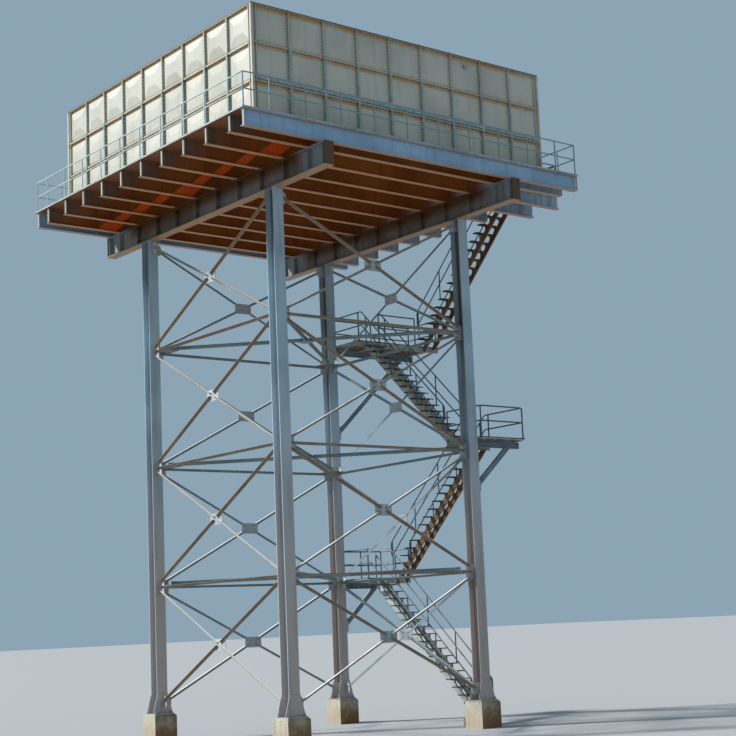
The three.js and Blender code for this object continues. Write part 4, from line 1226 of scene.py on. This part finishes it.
    def strut(self, steel: bmesh.types.BMesh, zinc: bmesh.types.BMesh, z: float) -> None:
        """Adds the two angles of one strut, with packing plates between them and their bolts."""
        for sign in (-1, 1):
            self.bar(steel, (-self.clear, z), (self.clear, z), sign)
            self.bolts(zinc, (sign * self.clear, z), (0.0, z), self.strut_bolts)
            for distance in self.top_bolts:
                top = self.at(sign * (self.clear - distance), z + self.leg / 2, -0.045)
                bolt(zinc, top, UP, 0.028, 0.03)
        for u in self.packs:
            self.plate(steel, [(u + a, z + b) for a, b in strip(*self.pack_size)])
            self.bolts(zinc, (u, z), (u + 1.0, z), (0.0,))

    def build(self) -> list[bpy.types.Object]:
        """Builds the frame."""
        piece = Piece(f"side_frame_{self.side.word}", Slot.BRACE)
        is_near = self.side in (Side.FRONT, Side.LEFT)
        # The far frames take the brace colour with painted shade.
        steel = piece.layer(self.finishes.brace if is_near else self.finishes.far_brace)
        zinc = piece.layer(self.finishes.bolt)
        plates = piece.layer(self.finishes.gusset)
        heights = (self.feet, *LEVELS, self.head)
        for index, (low, high) in enumerate(zip(heights, heights[1:])):
            bottom = low + (self.end_in if index == 0 else self.off_strut)
            top = high - (self.end_in if index == len(heights) - 2 else self.off_strut)
            self.tier(steel, zinc, bottom, top)
            self.plate(plates, self.middle_outline((bottom + top) / 2))
        for z in LEVELS:
            self.strut(steel, zinc, z)
        for z in heights:
            for sign in (-1, 1):
                self.plate(plates, self.end_outline(sign, z))
        return [piece.finish(f"bracing_{self.side.word}")]


@dataclass
class PlanBrace:
    """Level cross between the corners at one height, with its plates."""

    number: int
    finishes: Finishes
    end: float = 3.275
    width: float = 0.110
    height: float = 0.110
    wall: float = 0.010
    plate: float = 0.014
    length: float = 0.63
    edge_in: float = 0.012
    clear: float = 0.03
    seat_up: float = 0.0405
    split: float = 0.06
    hub: tuple[float, float] = (0.23, 0.10)

    def corner_outline(self, sx: int, sy: int) -> Outline:
        """Outline of the notched plate at one corner."""
        seat_x, seat_y = COLUMN_X - self.edge_in, COLUMN_Y - self.edge_in
        clear_x = COLUMN_X - COLUMN_WIDTH / 2 - self.clear
        clear_y = COLUMN_Y - COLUMN_DEPTH / 2 - self.clear
        x0, y0 = seat_x - self.length, seat_y - self.length
        points = [
            (x0, y0), (seat_x, y0), (seat_x, clear_y), (clear_x, clear_y), (clear_x, seat_y), (x0, seat_y),
        ]
        return [(TANK_X + sx * x, TOWER_Y + sy * y) for x, y in points]

    def build(self) -> list[bpy.types.Object]:
        """Builds the cross and its five plates."""
        piece = Piece(f"level_cross_{self.number}", Slot.BRACE)
        # The level cross takes the brace colour with painted shade.
        steel = piece.layer(self.finishes.far_brace)
        zinc = piece.layer(self.finishes.bolt)
        seat = LEVELS[self.number - 1] + self.seat_up
        top = seat + self.plate
        h, w, t = self.height, self.width / 2, self.wall
        section = [(-t, 0.0), (t, 0.0), (t, h - t), (w, h - t), (w, h), (-w, h), (-w, h - t), (-t, h - t)]
        middle = Vector((TANK_X, TOWER_Y, top))
        end, split = self.end, self.split
        whole = (RIGHT + AWAY, ((-end, end),))
        halves = (AWAY - RIGHT, ((-end, -split), (split, end)))
        for run, spans in (whole, halves):
            side = run.cross(UP).normalized()
            for first, last in spans:
                prism(steel, section, middle + run * first, middle + run * last, -side)
            for reach in (-end + 0.03, -end + 0.09, end - 0.03, end - 0.09, -0.12, 0.12):
                for off in (-0.03, 0.03):
                    bolt(zinc, middle + run * reach + side * off + UP * h, UP, 0.03, 0.018)
        a, b = self.hub
        octagon = [(a, -b), (a, b), (b, a), (-b, a), (-a, b), (-a, -b), (-b, -a), (b, -a)]
        prism(steel, octagon, middle - UP * self.plate, middle, RIGHT)
        for sx in (-1, 1):
            for sy in (-1, 1):
                prism(steel, self.corner_outline(sx, sy), UP * seat, UP * top, RIGHT)
        return [piece.finish(f"plan_brace_{self.number}")]


@dataclass
class ColumnFittings:
    """Weld beads, anchor nuts and cap bolts of the columns."""

    finishes: Finishes
    joints: tuple[float, ...] = (5.9, 11.7)
    bead: tuple[float, float] = (0.004, 0.009)
    base_plate: float = 0.04
    anchor: tuple[float, float] = (0.285, 0.27)
    anchor_size: tuple[float, float] = (0.055, 0.045)
    cap_plate: float = 0.03
    cap_bolt: tuple[float, float] = (0.165, 0.212)
    cap_size: tuple[float, float] = (0.034, 0.022)

    def build(self) -> list[bpy.types.Object]:
        """Builds one set of fittings for each column."""
        made = []
        for word, sx, sy in (("front_left", -1, -1), ("front_right", 1, -1), ("back_right", 1, 1),
                             ("back_left", -1, 1)):
            piece = Piece(f"fittings_{word}", Slot.COLUMN)
            x, y = TANK_X + sx * COLUMN_X, TOWER_Y + sy * COLUMN_Y
            self.welds(piece.layer(self.finishes.column), x, y)
            self.anchors(piece.layer(self.finishes.bolt), x, y)
            made.append(piece.finish())
        return made

    def welds(self, bm: bmesh.types.BMesh, x: float, y: float) -> None:
        """Adds a weld bead across both flanges at each joint."""
        out, half = self.bead
        for z in self.joints:
            for sign in (-1, 1):
                face = y + sign * COLUMN_DEPTH / 2
                low = Vector((x - COLUMN_WIDTH / 2, min(face, face + sign * out), z - half))
                high = Vector((x + COLUMN_WIDTH / 2, max(face, face + sign * out), z + half))
                box(bm, low, high, 0.002)

    def anchors(self, bm: bmesh.types.BMesh, x: float, y: float) -> None:
        """Adds the anchor nuts on the base plate and the bolts of the cap plate."""
        for sx in (-1, 1):
            for sy in (-1, 1):
                a, b = self.anchor
                at = Vector((x + sx * a, y + sy * b, PEDESTAL_TOP + self.base_plate))
                nut(bm, at, UP, *self.anchor_size)
                a, b = self.cap_bolt
                at = Vector((x + sx * a, y + sy * b, GIRDER_BOTTOM - self.cap_plate))
                bolt(bm, at, -UP, *self.cap_size)


@dataclass
class BeamFittings:
    """Bolts and upright flats where floor beams cross the girders and end at the walkway."""

    finishes: Finishes
    beam_half: float = 6.37
    edge_y: float = 6.19
    long_rows: tuple[int, int] = (2, 3)
    flat: tuple[float, float, float] = (0.042, 0.05, 0.008)
    off: tuple[float, float] = (0.12, 0.06)
    size: tuple[float, float] = (0.032, 0.02)
    girder_flange: float = 0.03
    beam_flange: float = 0.0245

    def rows(self) -> list[float]:
        """Places of the floor beams and edge beams along Y."""
        return [-self.edge_y, *[-TANK_HALF + i * PANEL for i in range(PANELS + 1)], self.edge_y]

    def build(self) -> list[bpy.types.Object]:
        """Builds the fittings of the beams."""
        piece = Piece("beam_fittings", Slot.BEAM)
        flats = piece.layer(self.finishes.cream)
        zinc = piece.layer(self.finishes.bolt)
        for index, y in enumerate(self.rows()):
            for side in (-1, 1):
                x = TANK_X + side * COLUMN_X
                for sx, sy in ((-1, -1), (-1, 1), (1, -1), (1, 1)):
                    u, v = x + sx * self.off[0], y + sy * self.off[1]
                    bolt(zinc, Vector((u, v, GIRDER_TOP - self.girder_flange)), -UP, *self.size)
                    bolt(zinc, Vector((u, v, GIRDER_TOP + self.beam_flange)), UP, *self.size)
            for side in (-1,) if index in self.long_rows else (-1, 1):
                self.end_flat(flats, y, side)
        return [piece.finish()]

    def end_flat(self, bm: bmesh.types.BMesh, y: float, side: int) -> None:
        """Adds the upright angle at the left (-1) or right (1) end of one beam."""
        x = TANK_X + side * (self.beam_half - 0.002)
        bottom, top = GIRDER_TOP + 0.026, BEAM_TOP - 0.025
        y -= 0.0605
        prism(bm, angle(*self.flat), Vector((x, y, bottom)), Vector((x, y, top)), -RIGHT * side)


@dataclass
class Railing:
    """Two-line guard rail of round tube with posts on foot plates."""

    name: str
    corners: list[tuple[float, float]]
    posts: list[tuple[float, float]]
    base: float
    finishes: Finishes
    slot: Slot = Slot.RAIL
    heights: tuple[float, float] = (0.52, 1.0)
    radius: float = 0.021
    foot: float = 0.055
    foot_plate: float = 0.01
    is_pale: bool = False

    def lines(self) -> list[list[Vector]]:
        """Corner points of the rails and posts."""
        runs = [[Vector((x, y, self.base + h)) for x, y in self.corners] for h in self.heights]
        for x, y in self.posts:
            runs.append([Vector((x, y, self.base)), Vector((x, y, self.base + self.heights[1]))])
        return runs

    def dress(self, piece: Piece) -> None:
        """Adds the railing to a piece."""
        # The pale finish is the rail paint as lit; the dark one paints it in shade.
        steel = piece.layer(self.finishes.guard if self.is_pale else self.finishes.rail)
        tubes(steel, self.lines(), self.radius)
        zinc = piece.layer(self.finishes.bolt)
        f, top = self.foot, self.base + self.foot_plate
        for x, y in self.posts:
            box(steel, Vector((x - f, y - f, self.base)), Vector((x + f, y + f, top)), 0.002)
            for dx, dy in ((-1, -1), (1, 1), (-1, 1), (1, -1)):
                bolt(zinc, Vector((x + dx * f * 0.65, y + dy * f * 0.65, top)), UP, 0.018, 0.01)

    def build(self, *replaced: str) -> list[bpy.types.Object]:
        """Builds the railing as a piece of its own."""
        piece = Piece(self.name, self.slot)
        self.dress(piece)
        return [piece.finish(*replaced)]


@dataclass
class WalkwayRails:
    """The guard rails round the tank, open where the stair arrives."""

    finishes: Finishes
    out_x: float = 6.36
    out_y: float = 6.24
    gate: tuple[float, float] = (-4.40, -2.02)
    side_in: float = 0.03
    lift: float = 0.0005

    def build(self) -> list[bpy.types.Object]:
        """Builds the five lengths of rail."""
        x0, x1 = TANK_X - self.out_x, TANK_X + self.out_x
        y0, y1 = -self.out_y, self.out_y
        low, high = y0 + self.side_in, y1 - self.side_in
        near, far = self.gate
        seams = [-TANK_HALF + i * PANEL for i in range(PANELS + 1)]
        far_posts = [far, *[v for v in seams if v > far + 0.3]]
        lengths = [
            ("front", [(x0, y0), (x1, y0)], [(x0, y0), *[(TANK_X + u, y0) for u in seams], (x1, y0)]),
            ("back", [(x0, y1), (x1, y1)], [(x0, y1), *[(TANK_X + u, y1) for u in seams], (x1, y1)]),
            ("left", [(x0, low), (x0, high)], [(x0, v) for v in seams]),
            ("right_front", [(x1, low), (x1, near)], [(x1, seams[0]), (x1, near)]),
            ("right_back", [(x1, far), (x1, high)], [(x1, v) for v in far_posts]),
        ]
        made = []
        for word, corners, posts in lengths:
            rail = Railing(
                f"guard_rail_{word}", corners, posts, DECK_TOP + self.lift, self.finishes, is_pale=True,
            )
            made += rail.build(f"rail_{word}")
        return made


@dataclass
class Flight:
    """One stair flight: stringers, bracketed treads and handrails.

    Lengths along the flight from its start are called s, heights above its start z.
    """

    number: int
    lane: tuple[float, float]
    start: tuple[float, float]
    end: tuple[float, float]
    finishes: Finishes
    footed: bool = False
    riser: float = 0.244
    tread: tuple[float, float] = (0.215, 0.032)
    lead: float = 0.03
    over: tuple[float, float] = (0.29, 0.20)
    down: float = 0.008
    stem: float = 0.08
    stringer: tuple[float, float] = (0.193, 0.04)
    wall: float = 0.009
    fold: float = 0.006
    lap: float = 0.03
    cleat: tuple[float, float] = (0.06, 0.012)
    hand: tuple[float, float] = (0.43, 0.91)
    landing_hand: tuple[float, float] = (0.51, 0.99)
    hand_in: float = 0.023
    hand_radius: float = 0.021

    def __post_init__(self) -> None:
        """Works out the steps."""
        self.run = abs(self.end[0] - self.start[0])
        self.count = round((self.end[1] - self.start[1]) / self.riser)
        self.rise = (self.end[1] - self.start[1]) / self.count
        self.going = self.run / self.count
        self.slope = self.rise / self.going
        self.toward = 1.0 if self.end[0] > self.start[0] else -1.0

    def at(self, x: float, s: float, z: float) -> Vector:
        """Place from the distance along the flight and the height above its start."""
        return Vector((TANK_X + x, self.start[0] + self.toward * s, self.start[1] + z))

    def nosing(self, s: float) -> float:
        """Height of the nosing line above the start."""
        return self.rise + (s - self.lead) * self.slope

    def top(self, s: float) -> float:
        """Height of the stringers' upper edge above the start."""
        return self.nosing(s) - self.tread[1] - self.tread[0] * self.slope - self.down

    def treads(self, bm: bmesh.types.BMesh) -> None:
        """Adds the folded treads."""
        d, lip = self.tread
        t = self.fold
        section = [
            (0.0, -lip), (t, -lip), (t, -t), (d - t, -t), (d - t, -lip), (d, -lip), (d, 0.0), (0.0, 0.0),
        ]
        side = AWAY * self.toward
        for i in range(1, self.count):
            s, z = self.lead + (i - 1) * self.going, i * self.rise
            outline = section if self.toward > 0 else [(a, -b) for a, b in section]
            prism(bm, outline, self.at(self.lane[0], s, z), self.at(self.lane[1], s, z), side)

    def strings(self, piece: Piece) -> None:
        """Adds the two channels, the tread brackets and their bolts."""
        zinc = piece.layer(self.finishes.bolt)
        bm = piece.layer(self.finishes.stair if self.number in (1, 3) else self.finishes.stair_shade)
        depth, flange = self.stringer
        drop = depth * math.hypot(1.0, self.slope)
        section = channel(depth, flange, self.wall)
        s0 = (drop / 2 - self.top(0.0)) / self.slope if self.footed else 0.0
        lines = (self.lane[0] + self.over[0] + 0.003, self.lane[1] - self.over[1] - 0.003)
        for sign, x in zip((-1, 1), lines):
            start = self.at(x, s0, self.top(s0) - drop / 2)
            end = self.at(x, self.run, self.top(self.run) - drop / 2)
            prism(bm, section, start, end, -RIGHT * sign)
            for step in range(1, self.count):
                s = self.lead + (step - 1) * self.going + (self.tread[0] - self.stem) / 2
                e = s + self.stem
                z = step * self.rise - self.fold
                points = [(s, z), (e, z), (e, self.top(e) - self.lap), (s, self.top(s) - self.lap)]
                self.bracket(bm, x, sign, points)
                middle = (s + e) / 2
                bolt(zinc, self.at(x, middle, self.top(middle) - drop * 0.4), RIGHT * sign, 0.024, 0.014)
                first, last = (self.at(x - sign * self.cleat[0] / 2, a, z) for a in (s - 0.05, e + 0.05))
                prism(bm, strip(*self.cleat), first, last, RIGHT)
        if self.footed:
            for x in lines:
                self.foot(bm, zinc, self.at(x, s0, 0.0))

    def bracket(self, bm: bmesh.types.BMesh, x: float, sign: int, points: Outline) -> None:
        """Adds the plate that carries one end of a tread."""
        outline = [(self.toward * s, z) for s, z in points]
        start = self.at(x + (0.0095 if sign < 0 else -0.0195), 0.0, 0.0)
        prism(bm, outline, start, start + RIGHT * 0.01, AWAY)

    def foot(self, bm: bmesh.types.BMesh, zinc: bmesh.types.BMesh, at: Vector) -> None:
        """Adds the foot plate of one stringer and its anchor nuts."""
        box(bm, at + Vector((-0.07, -0.10, 0.0)), at + Vector((0.07, 0.16, 0.014)), 0.003)
        for dy in (-0.06, 0.12):
            nut(zinc, at + Vector((0.045, dy, 0.014)), UP, 0.028, 0.022)

    def handrails(self, bm: bmesh.types.BMesh) -> None:
        """Adds the two sloping rails and the posts on each side."""
        mid, top = self.hand
        level = self.end[1] - self.start[1]
        level_mid, level_top = (level + rail for rail in self.landing_hand)
        first, last = 0.07, self.run + 0.03
        for x in (self.lane[0] + self.hand_in, self.lane[1] - self.hand_in):
            ends = [self.run - (self.nosing(self.run) + h - level - rail) / self.slope
                    for h, rail in zip(self.hand, self.landing_hand)]
            runs = [[
                self.at(x, last, level_top),
                self.at(x, ends[1], level_top),
                self.at(x, first, self.nosing(first) + top),
                self.at(x, first, self.nosing(first) + mid),
                self.at(x, ends[0], level_mid),
                self.at(x, last, level_mid),
            ]]
            for k in range(4):
                step = 1 + round((self.count - 2) * k / 3)
                s = self.lead + (step - 1) * self.going + self.tread[0] / 2
                runs.append([self.at(x, s, step * self.rise - 0.03), self.at(x, s, self.nosing(s) + top)])
            tubes(bm, runs, self.hand_radius, 0.09)

    def build(self) -> list[bpy.types.Object]:
        """Builds the flight."""
        piece = Piece(f"stair_flight_{self.number}", Slot.STAIR)
        self.treads(piece.layer(self.finishes.tread))
        self.strings(piece)
        self.handrails(piece.layer(self.finishes.rail))
        return [piece.finish(f"flight_{self.number}")]


@dataclass
class Landing:
    """A landing: tread plate on channels, guard rails, and its bracket on a column."""

    number: int
    x: tuple[float, float]
    closed: float
    opened: float
    top: float
    column_y: float
    bracket: tuple[float, float, float]
    finishes: Finishes
    gap: tuple[float, float] | None = None
    has_middle_post: bool = True
    deck: float = 0.030
    edge: float = 0.038
    joist: float = 0.078
    header: float = 0.178
    post_in: float = 0.035
    flange: float = 0.05
    wall: float = 0.008
    beam_size: tuple[float, float, float, float] = (0.09, 0.205, 0.012, 0.009)
    beam_down: float = 0.108
    end_plate: tuple[float, float] = (0.012, 0.06)
    strut_size: tuple[float, float, float] = (0.16, 0.085, 0.010)
    joist_in: float = 0.16
    heel: tuple[tuple[float, float], ...] = ((0.0, -0.18), (0.34, -0.02), (0.34, 0.31), (0.0, 0.31))
    heel_off: tuple[float, float] = (-0.055, 0.043)
    heel_plate: float = 0.012
    heights: tuple[float, float] = (0.51, 0.99)

    def build(self) -> list[bpy.types.Object]:
        """Builds the landing."""
        piece = Piece(f"stair_landing_{self.number}", Slot.STAIR)
        x0, x1 = TANK_X + self.x[0], TANK_X + self.x[1]
        y0, y1 = min(self.closed, self.opened), max(self.closed, self.opened)
        box(piece.layer(self.finishes.tread), Vector((x0, y0, self.top - self.deck)),
            Vector((x1, y1, self.top)), 0.003)
        steel = piece.layer(self.finishes.stair)
        self.edge_frame(steel, x0, x1, y0, y1)
        self.bracket_beam(piece, piece.layer(self.finishes.bracket), piece.layer(self.finishes.bolt))
        self.rails(piece)
        return [piece.finish(f"landing_{self.number}")]

    def edge_frame(self, bm: bmesh.types.BMesh, x0: float, x1: float, y0: float, y1: float) -> None:
        """Adds shallow edge angles, the deeper channel on the open side and four joists."""
        upper = self.top - self.deck - 0.001
        e = 0.002
        for y, inward in ((y0 + e, AWAY), (y1 - e, -AWAY)):
            is_open = abs(y - self.opened) < 0.1
            depth = self.header if is_open else self.edge
            z = upper - depth / 2
            section = channel(depth, self.flange, self.wall)
            prism(bm, section, Vector((x0 + e, y, z)), Vector((x1 - e, y, z)), inward)
        for x, inward in ((x0 + e, RIGHT), (x1 - e, -RIGHT)):
            z = upper - self.edge / 2
            section = channel(self.edge, self.flange, self.wall)
            prism(bm, section, Vector((x, y0 + 0.055, z)), Vector((x, y1 - 0.055, z)), inward)
        z = upper - self.joist / 2
        section = channel(self.joist, 0.045, self.wall)
        for x in (x0 + self.joist_in, x0 + (x1 - x0) / 3, x0 + (x1 - x0) * 2 / 3, x1 - self.joist_in):
            prism(bm, section, Vector((x, y0 + 0.012, z)), Vector((x, y1 - 0.012, z)), RIGHT)

    def bracket_beam(self, piece: Piece, bm: bmesh.types.BMesh, zinc: bmesh.types.BMesh) -> None:
        """Adds the cantilever, its raking strut and the heel plates on the column."""
        reach, foot, tip = self.bracket
        y = self.column_y
        web = TANK_X + COLUMN_X + WEB_FACE
        half = self.beam_size[1] / 2
        z = self.top - self.beam_down - half
        end_x = TANK_X + tip
        thick, wide = self.end_plate
        prism(bm, beam(*self.beam_size), Vector((web, y, z)), Vector((end_x - thick, y, z)), AWAY)
        plates = piece.layer(self.finishes.gusset)
        box(plates, Vector((end_x - thick, y - wide, z - half)), Vector((end_x, y + wide, z + half)), 0.002)
        start = Vector((web + 0.02, y, foot - 0.009))
        end = Vector((TANK_X + reach, y, z - 0.0625))
        back = AWAY * (-self.strut_size[1] / 2)
        prism(bm, channel(*self.strut_size), start + back, end + back, AWAY)
        heel = [(web + a, foot + b) for a, b in self.heel]
        for off in self.heel_off:
            prism(plates, heel, AWAY * (y + off + self.heel_plate), AWAY * (y + off), RIGHT)
        for k in range(3):
            for off, sign in ((-0.055, -1), (0.055, 1)):
                at = Vector((web + 0.20 + 0.045 * k, y + off, foot + 0.08 + 0.06 * k))
                bolt(zinc, at, AWAY * sign, 0.034, 0.022)

    def rails(self, piece: Piece) -> None:
        """Adds the guard rails round the closed sides."""
        r = self.post_in
        inward = 1.0 if self.opened > self.closed else -1.0
        far, near = self.closed + inward * r, self.opened - inward * r
        a, b = TANK_X + self.x[0] + r, TANK_X + self.x[1] - r
        posts = [(a, near), (a, far), (b, far), (b, near)]
        if self.has_middle_post:
            posts.append(((a + b) / 2, far))
        fences = [([(a, near), (a, far), (b, far), (b, near)], posts)]
        if self.gap:
            ends = [(TANK_X + x, near) for x in self.gap]
            fences.append((ends, ends))
        for corners, stands in fences:
            Railing("", corners, stands, self.top, self.finishes, heights=self.heights, radius=0.024,
                    foot=0.045).dress(piece)


@dataclass
class TopLanding:
    """The landing outside the walkway where the last flight arrives."""

    finishes: Finishes
    y: tuple[float, float] = (-4.36, -2.06)
    x: tuple[float, float] = (6.4205, 7.45)
    lift: float = 0.0005
    deck: float = 0.03
    kerb: tuple[float, float] = (0.014, 0.05)
    leg: float = 0.065
    rail_in: float = 0.05
    heights: tuple[float, float] = (0.515, 0.995)

    def build(self) -> list[bpy.types.Object]:
        """Builds the landing."""
        piece = Piece("stair_landing_top", Slot.STAIR)
        x0, x1 = TANK_X + self.x[0], TANK_X + self.x[1]
        y0, y1 = self.y
        z = BEAM_TOP + self.lift
        box(piece.layer(self.finishes.tread), Vector((x0, y0, z)), Vector((x1, y1, z + self.deck)), 0.003)
        steel = piece.layer(self.finishes.stair)
        thick, up = self.kerb
        box(steel, Vector((x1 - thick, y0, z)), Vector((x1, y1, z + up)), 0.003)
        box(steel, Vector((x0, y0, z)), Vector((x1 - thick - 0.0005, y0 + thick, z + up)), 0.003)
        under = z - self.leg - 0.001
        section = angle(self.leg, self.leg, 0.008)
        for y in (y0 + 0.004, y1 - 0.07):
            prism(steel, section, Vector((x0, y, under)), Vector((x1, y, under)), AWAY)
        r = self.rail_in
        corners = [(x1 - r, y1 - r), (x1 - r, y0 + r), (x0 + r, y0 + r)]
        posts = [*corners, (x1 - r, y1 - r - 1.1)]
        Railing("", corners, posts, z + self.deck, self.finishes, heights=self.heights).dress(piece)
        return [piece.finish("landing_top")]


@dataclass
class Stair:
    """The whole stair outside the right side."""

    finishes: Finishes

    def build(self) -> list[bpy.types.Object]:
        """Builds the flights and landings."""
        inner, outer, top = (3.81, 4.70), (4.78, 5.65), (6.43, 7.38)
        l1, l2, l3 = 4.90, 9.05, 13.20
        back, front = 2.25, -2.20
        back_y, front_y = TOWER_Y + COLUMN_Y, TOWER_Y - COLUMN_Y
        parts = [
            Flight(1, inner, (-2.90, 0.25), (back, l1), self.finishes, footed=True),
            Flight(2, outer, (back, l1), (front, l2), self.finishes),
            Flight(3, inner, (front, l2), (back, l3), self.finishes),
            Flight(4, top, (back, l3), (-2.06, DECK_TOP), self.finishes),
            Landing(1, (3.80, 5.67), 3.90, back, l1, back_y, (5.215, 3.15, 5.66), self.finishes),
            Landing(2, (3.80, 5.67), -3.90, front, l2, front_y, (5.215, 7.345, 5.69), self.finishes,
                    has_middle_post=False),
            Landing(3, (3.80, 7.42), 3.90, back, l3, back_y, (6.80, 9.88, 7.40), self.finishes,
                    gap=(4.74, 6.39)),
            TopLanding(self.finishes),
        ]
        return [piece for part in parts for piece in part.build()]


@dataclass
class CarriedNodes:
    """Finishes of the CAD nodes that are shown as they are."""

    finishes: Finishes

    def choose(self, name: str) -> bpy.types.Material | None:
        """Finish of one node, or None where a piece replaces it."""
        table = (
            ("pedestal", self.finishes.concrete),
            ("stair_footing", self.finishes.concrete),
            ("column_front_right", self.finishes.column_right),
            ("column_back_right", self.finishes.column_right),
            ("column", self.finishes.column),
            ("girder", self.finishes.girder),
            ("floor_beam", self.finishes.beam),
            ("edge_beam", self.finishes.edge_beam),
            ("tank_floor", self.finishes.soffit),
            ("tank_roof", self.finishes.roof),
            ("roof_hatch", self.finishes.galvanised),
            ("walkway", self.finishes.deck),
        )
        for start, material in table:
            if name.startswith(start):
                return material
        return None

    def build(self) -> list[bpy.types.Object]:
        """Gives every carried node its finish."""
        dressed = []
        for name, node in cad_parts.items():
            material = self.choose(name)
            if material is None:
                continue
            node.data.materials.clear()
            node.data.materials.append(material)
            dressed.append(node)
        return dressed


@dataclass
class Studio:
    """Pale floor, soft light and the camera of the photograph."""

    place: tuple[float, float, float] = (-29.2837, -39.9868, 3.2622)
    yaw: float = 0.6970
    pitch: float = 0.1480
    roll: float = -0.0474
    lens: float = 75.577
    shift: tuple[float, float] = (-0.0738, 0.0342)
    sun: tuple[float, float, float] = (-0.60, 0.50, 0.62)
    sun_strength: float = 5.4
    sun_width: float = 6.0
    sky: tuple[float, float, float, float] = (0.57, 0.81, 1.0, 1.0)
    sky_strength: float = 0.46
    floor_reach: float = 600.0
    floor_grey: float = 0.36

    def camera(self) -> None:
        """Makes the camera at the photograph's viewing angle."""
        data = bpy.data.cameras.new("photo_camera")
        data.lens = self.lens
        data.sensor_width = 36.0
        data.shift_x, data.shift_y = self.shift
        data.clip_end = 2000.0
        camera = bpy.data.objects.new("photo_camera", data)
        forward = Vector((
            math.sin(self.yaw) * math.cos(self.pitch), math.cos(self.yaw) * math.cos(self.pitch),
            math.sin(self.pitch),
        ))
        level = Vector((math.cos(self.yaw), -math.sin(self.yaw), 0.0))
        upright = level.cross(forward)
        right = level * math.cos(self.roll) + upright * math.sin(self.roll)
        up = upright * math.cos(self.roll) - level * math.sin(self.roll)
        camera.matrix_world = basis(Vector(self.place), right, up, -forward)
        bpy.context.scene.collection.objects.link(camera)
        bpy.context.scene.camera = camera

    def floor(self) -> None:
        """Makes the plain pale floor."""
        bm = bmesh.new()
        bmesh.ops.create_grid(bm, x_segments=1, y_segments=1, size=self.floor_reach)
        mesh = bpy.data.meshes.new("studio_floor")
        bm.to_mesh(mesh)
        bm.free()
        floor = bpy.data.objects.new("studio_floor", mesh)
        floor.location = (0.0, 0.0, -0.002)
        material = bpy.data.materials.new("studio_floor")
        material.use_nodes = True
        shader = material.node_tree.nodes["Principled BSDF"]
        shader.inputs["Base Color"].default_value = (*[self.floor_grey] * 3, 1.0)
        shader.inputs["Roughness"].default_value = 0.9
        mesh.materials.append(material)
        bpy.context.scene.collection.objects.link(floor)

    def lamp(self) -> None:
        """Makes the soft sun, high at the back left of the tower."""
        toward = Vector(self.sun).normalized()
        data = bpy.data.lights.new("key", "SUN")
        data.energy = self.sun_strength
        data.angle = math.radians(self.sun_width)
        lamp = bpy.data.objects.new("key", data)
        lamp.rotation_mode = "QUATERNION"
        lamp.rotation_quaternion = toward.to_track_quat("Z", "Y")
        lamp.location = toward * 60.0
        bpy.context.scene.collection.objects.link(lamp)

    def build(self) -> None:
        """Makes the floor, the sun, the light of the sky and the camera."""
        self.floor()
        self.lamp()
        world = bpy.data.worlds.new("studio")
        world.use_nodes = True
        background = world.node_tree.nodes["Background"]
        background.inputs["Color"].default_value = self.sky
        background.inputs["Strength"].default_value = self.sky_strength
        bpy.context.scene.world = world
        bpy.context.scene.view_settings.view_transform = "Standard"
        self.camera()


def report(part: str, pieces: list[bpy.types.Object]) -> None:
    """Reports the pieces of one part.

    Args:
        part: Name of the part.
        pieces: Its finished pieces.
    """
    LOG.info("%s: %s", part, ", ".join(piece.name for piece in pieces))


def main() -> None:
    """Builds every part in order."""
    logging.basicConfig(level=logging.INFO, format="%(message)s")
    finishes = Finishes()
    Studio().build()
    side_half = TANK_HALF - POST_IN - JOINT
    parts = [
        CarriedNodes(finishes),
        TankWall(Side.FRONT, finishes),
        TankWall(Side.BACK, finishes),
        TankWall(Side.LEFT, finishes, half=side_half, corners=False),
        TankWall(Side.RIGHT, finishes, half=side_half, corners=False),
        TankFittings(finishes),
        PrimedWebs(finishes),
        BeamFittings(finishes),
        ColumnFittings(finishes),
        *[SideFrame(side, finishes) for side in Side],
        *[PlanBrace(number, finishes) for number in (1, 2, 3)],
        WalkwayRails(finishes),
        Stair(finishes),
    ]
    for part in parts:
        report(type(part).__name__, part.build())


if __name__ == "__main__":
    main()
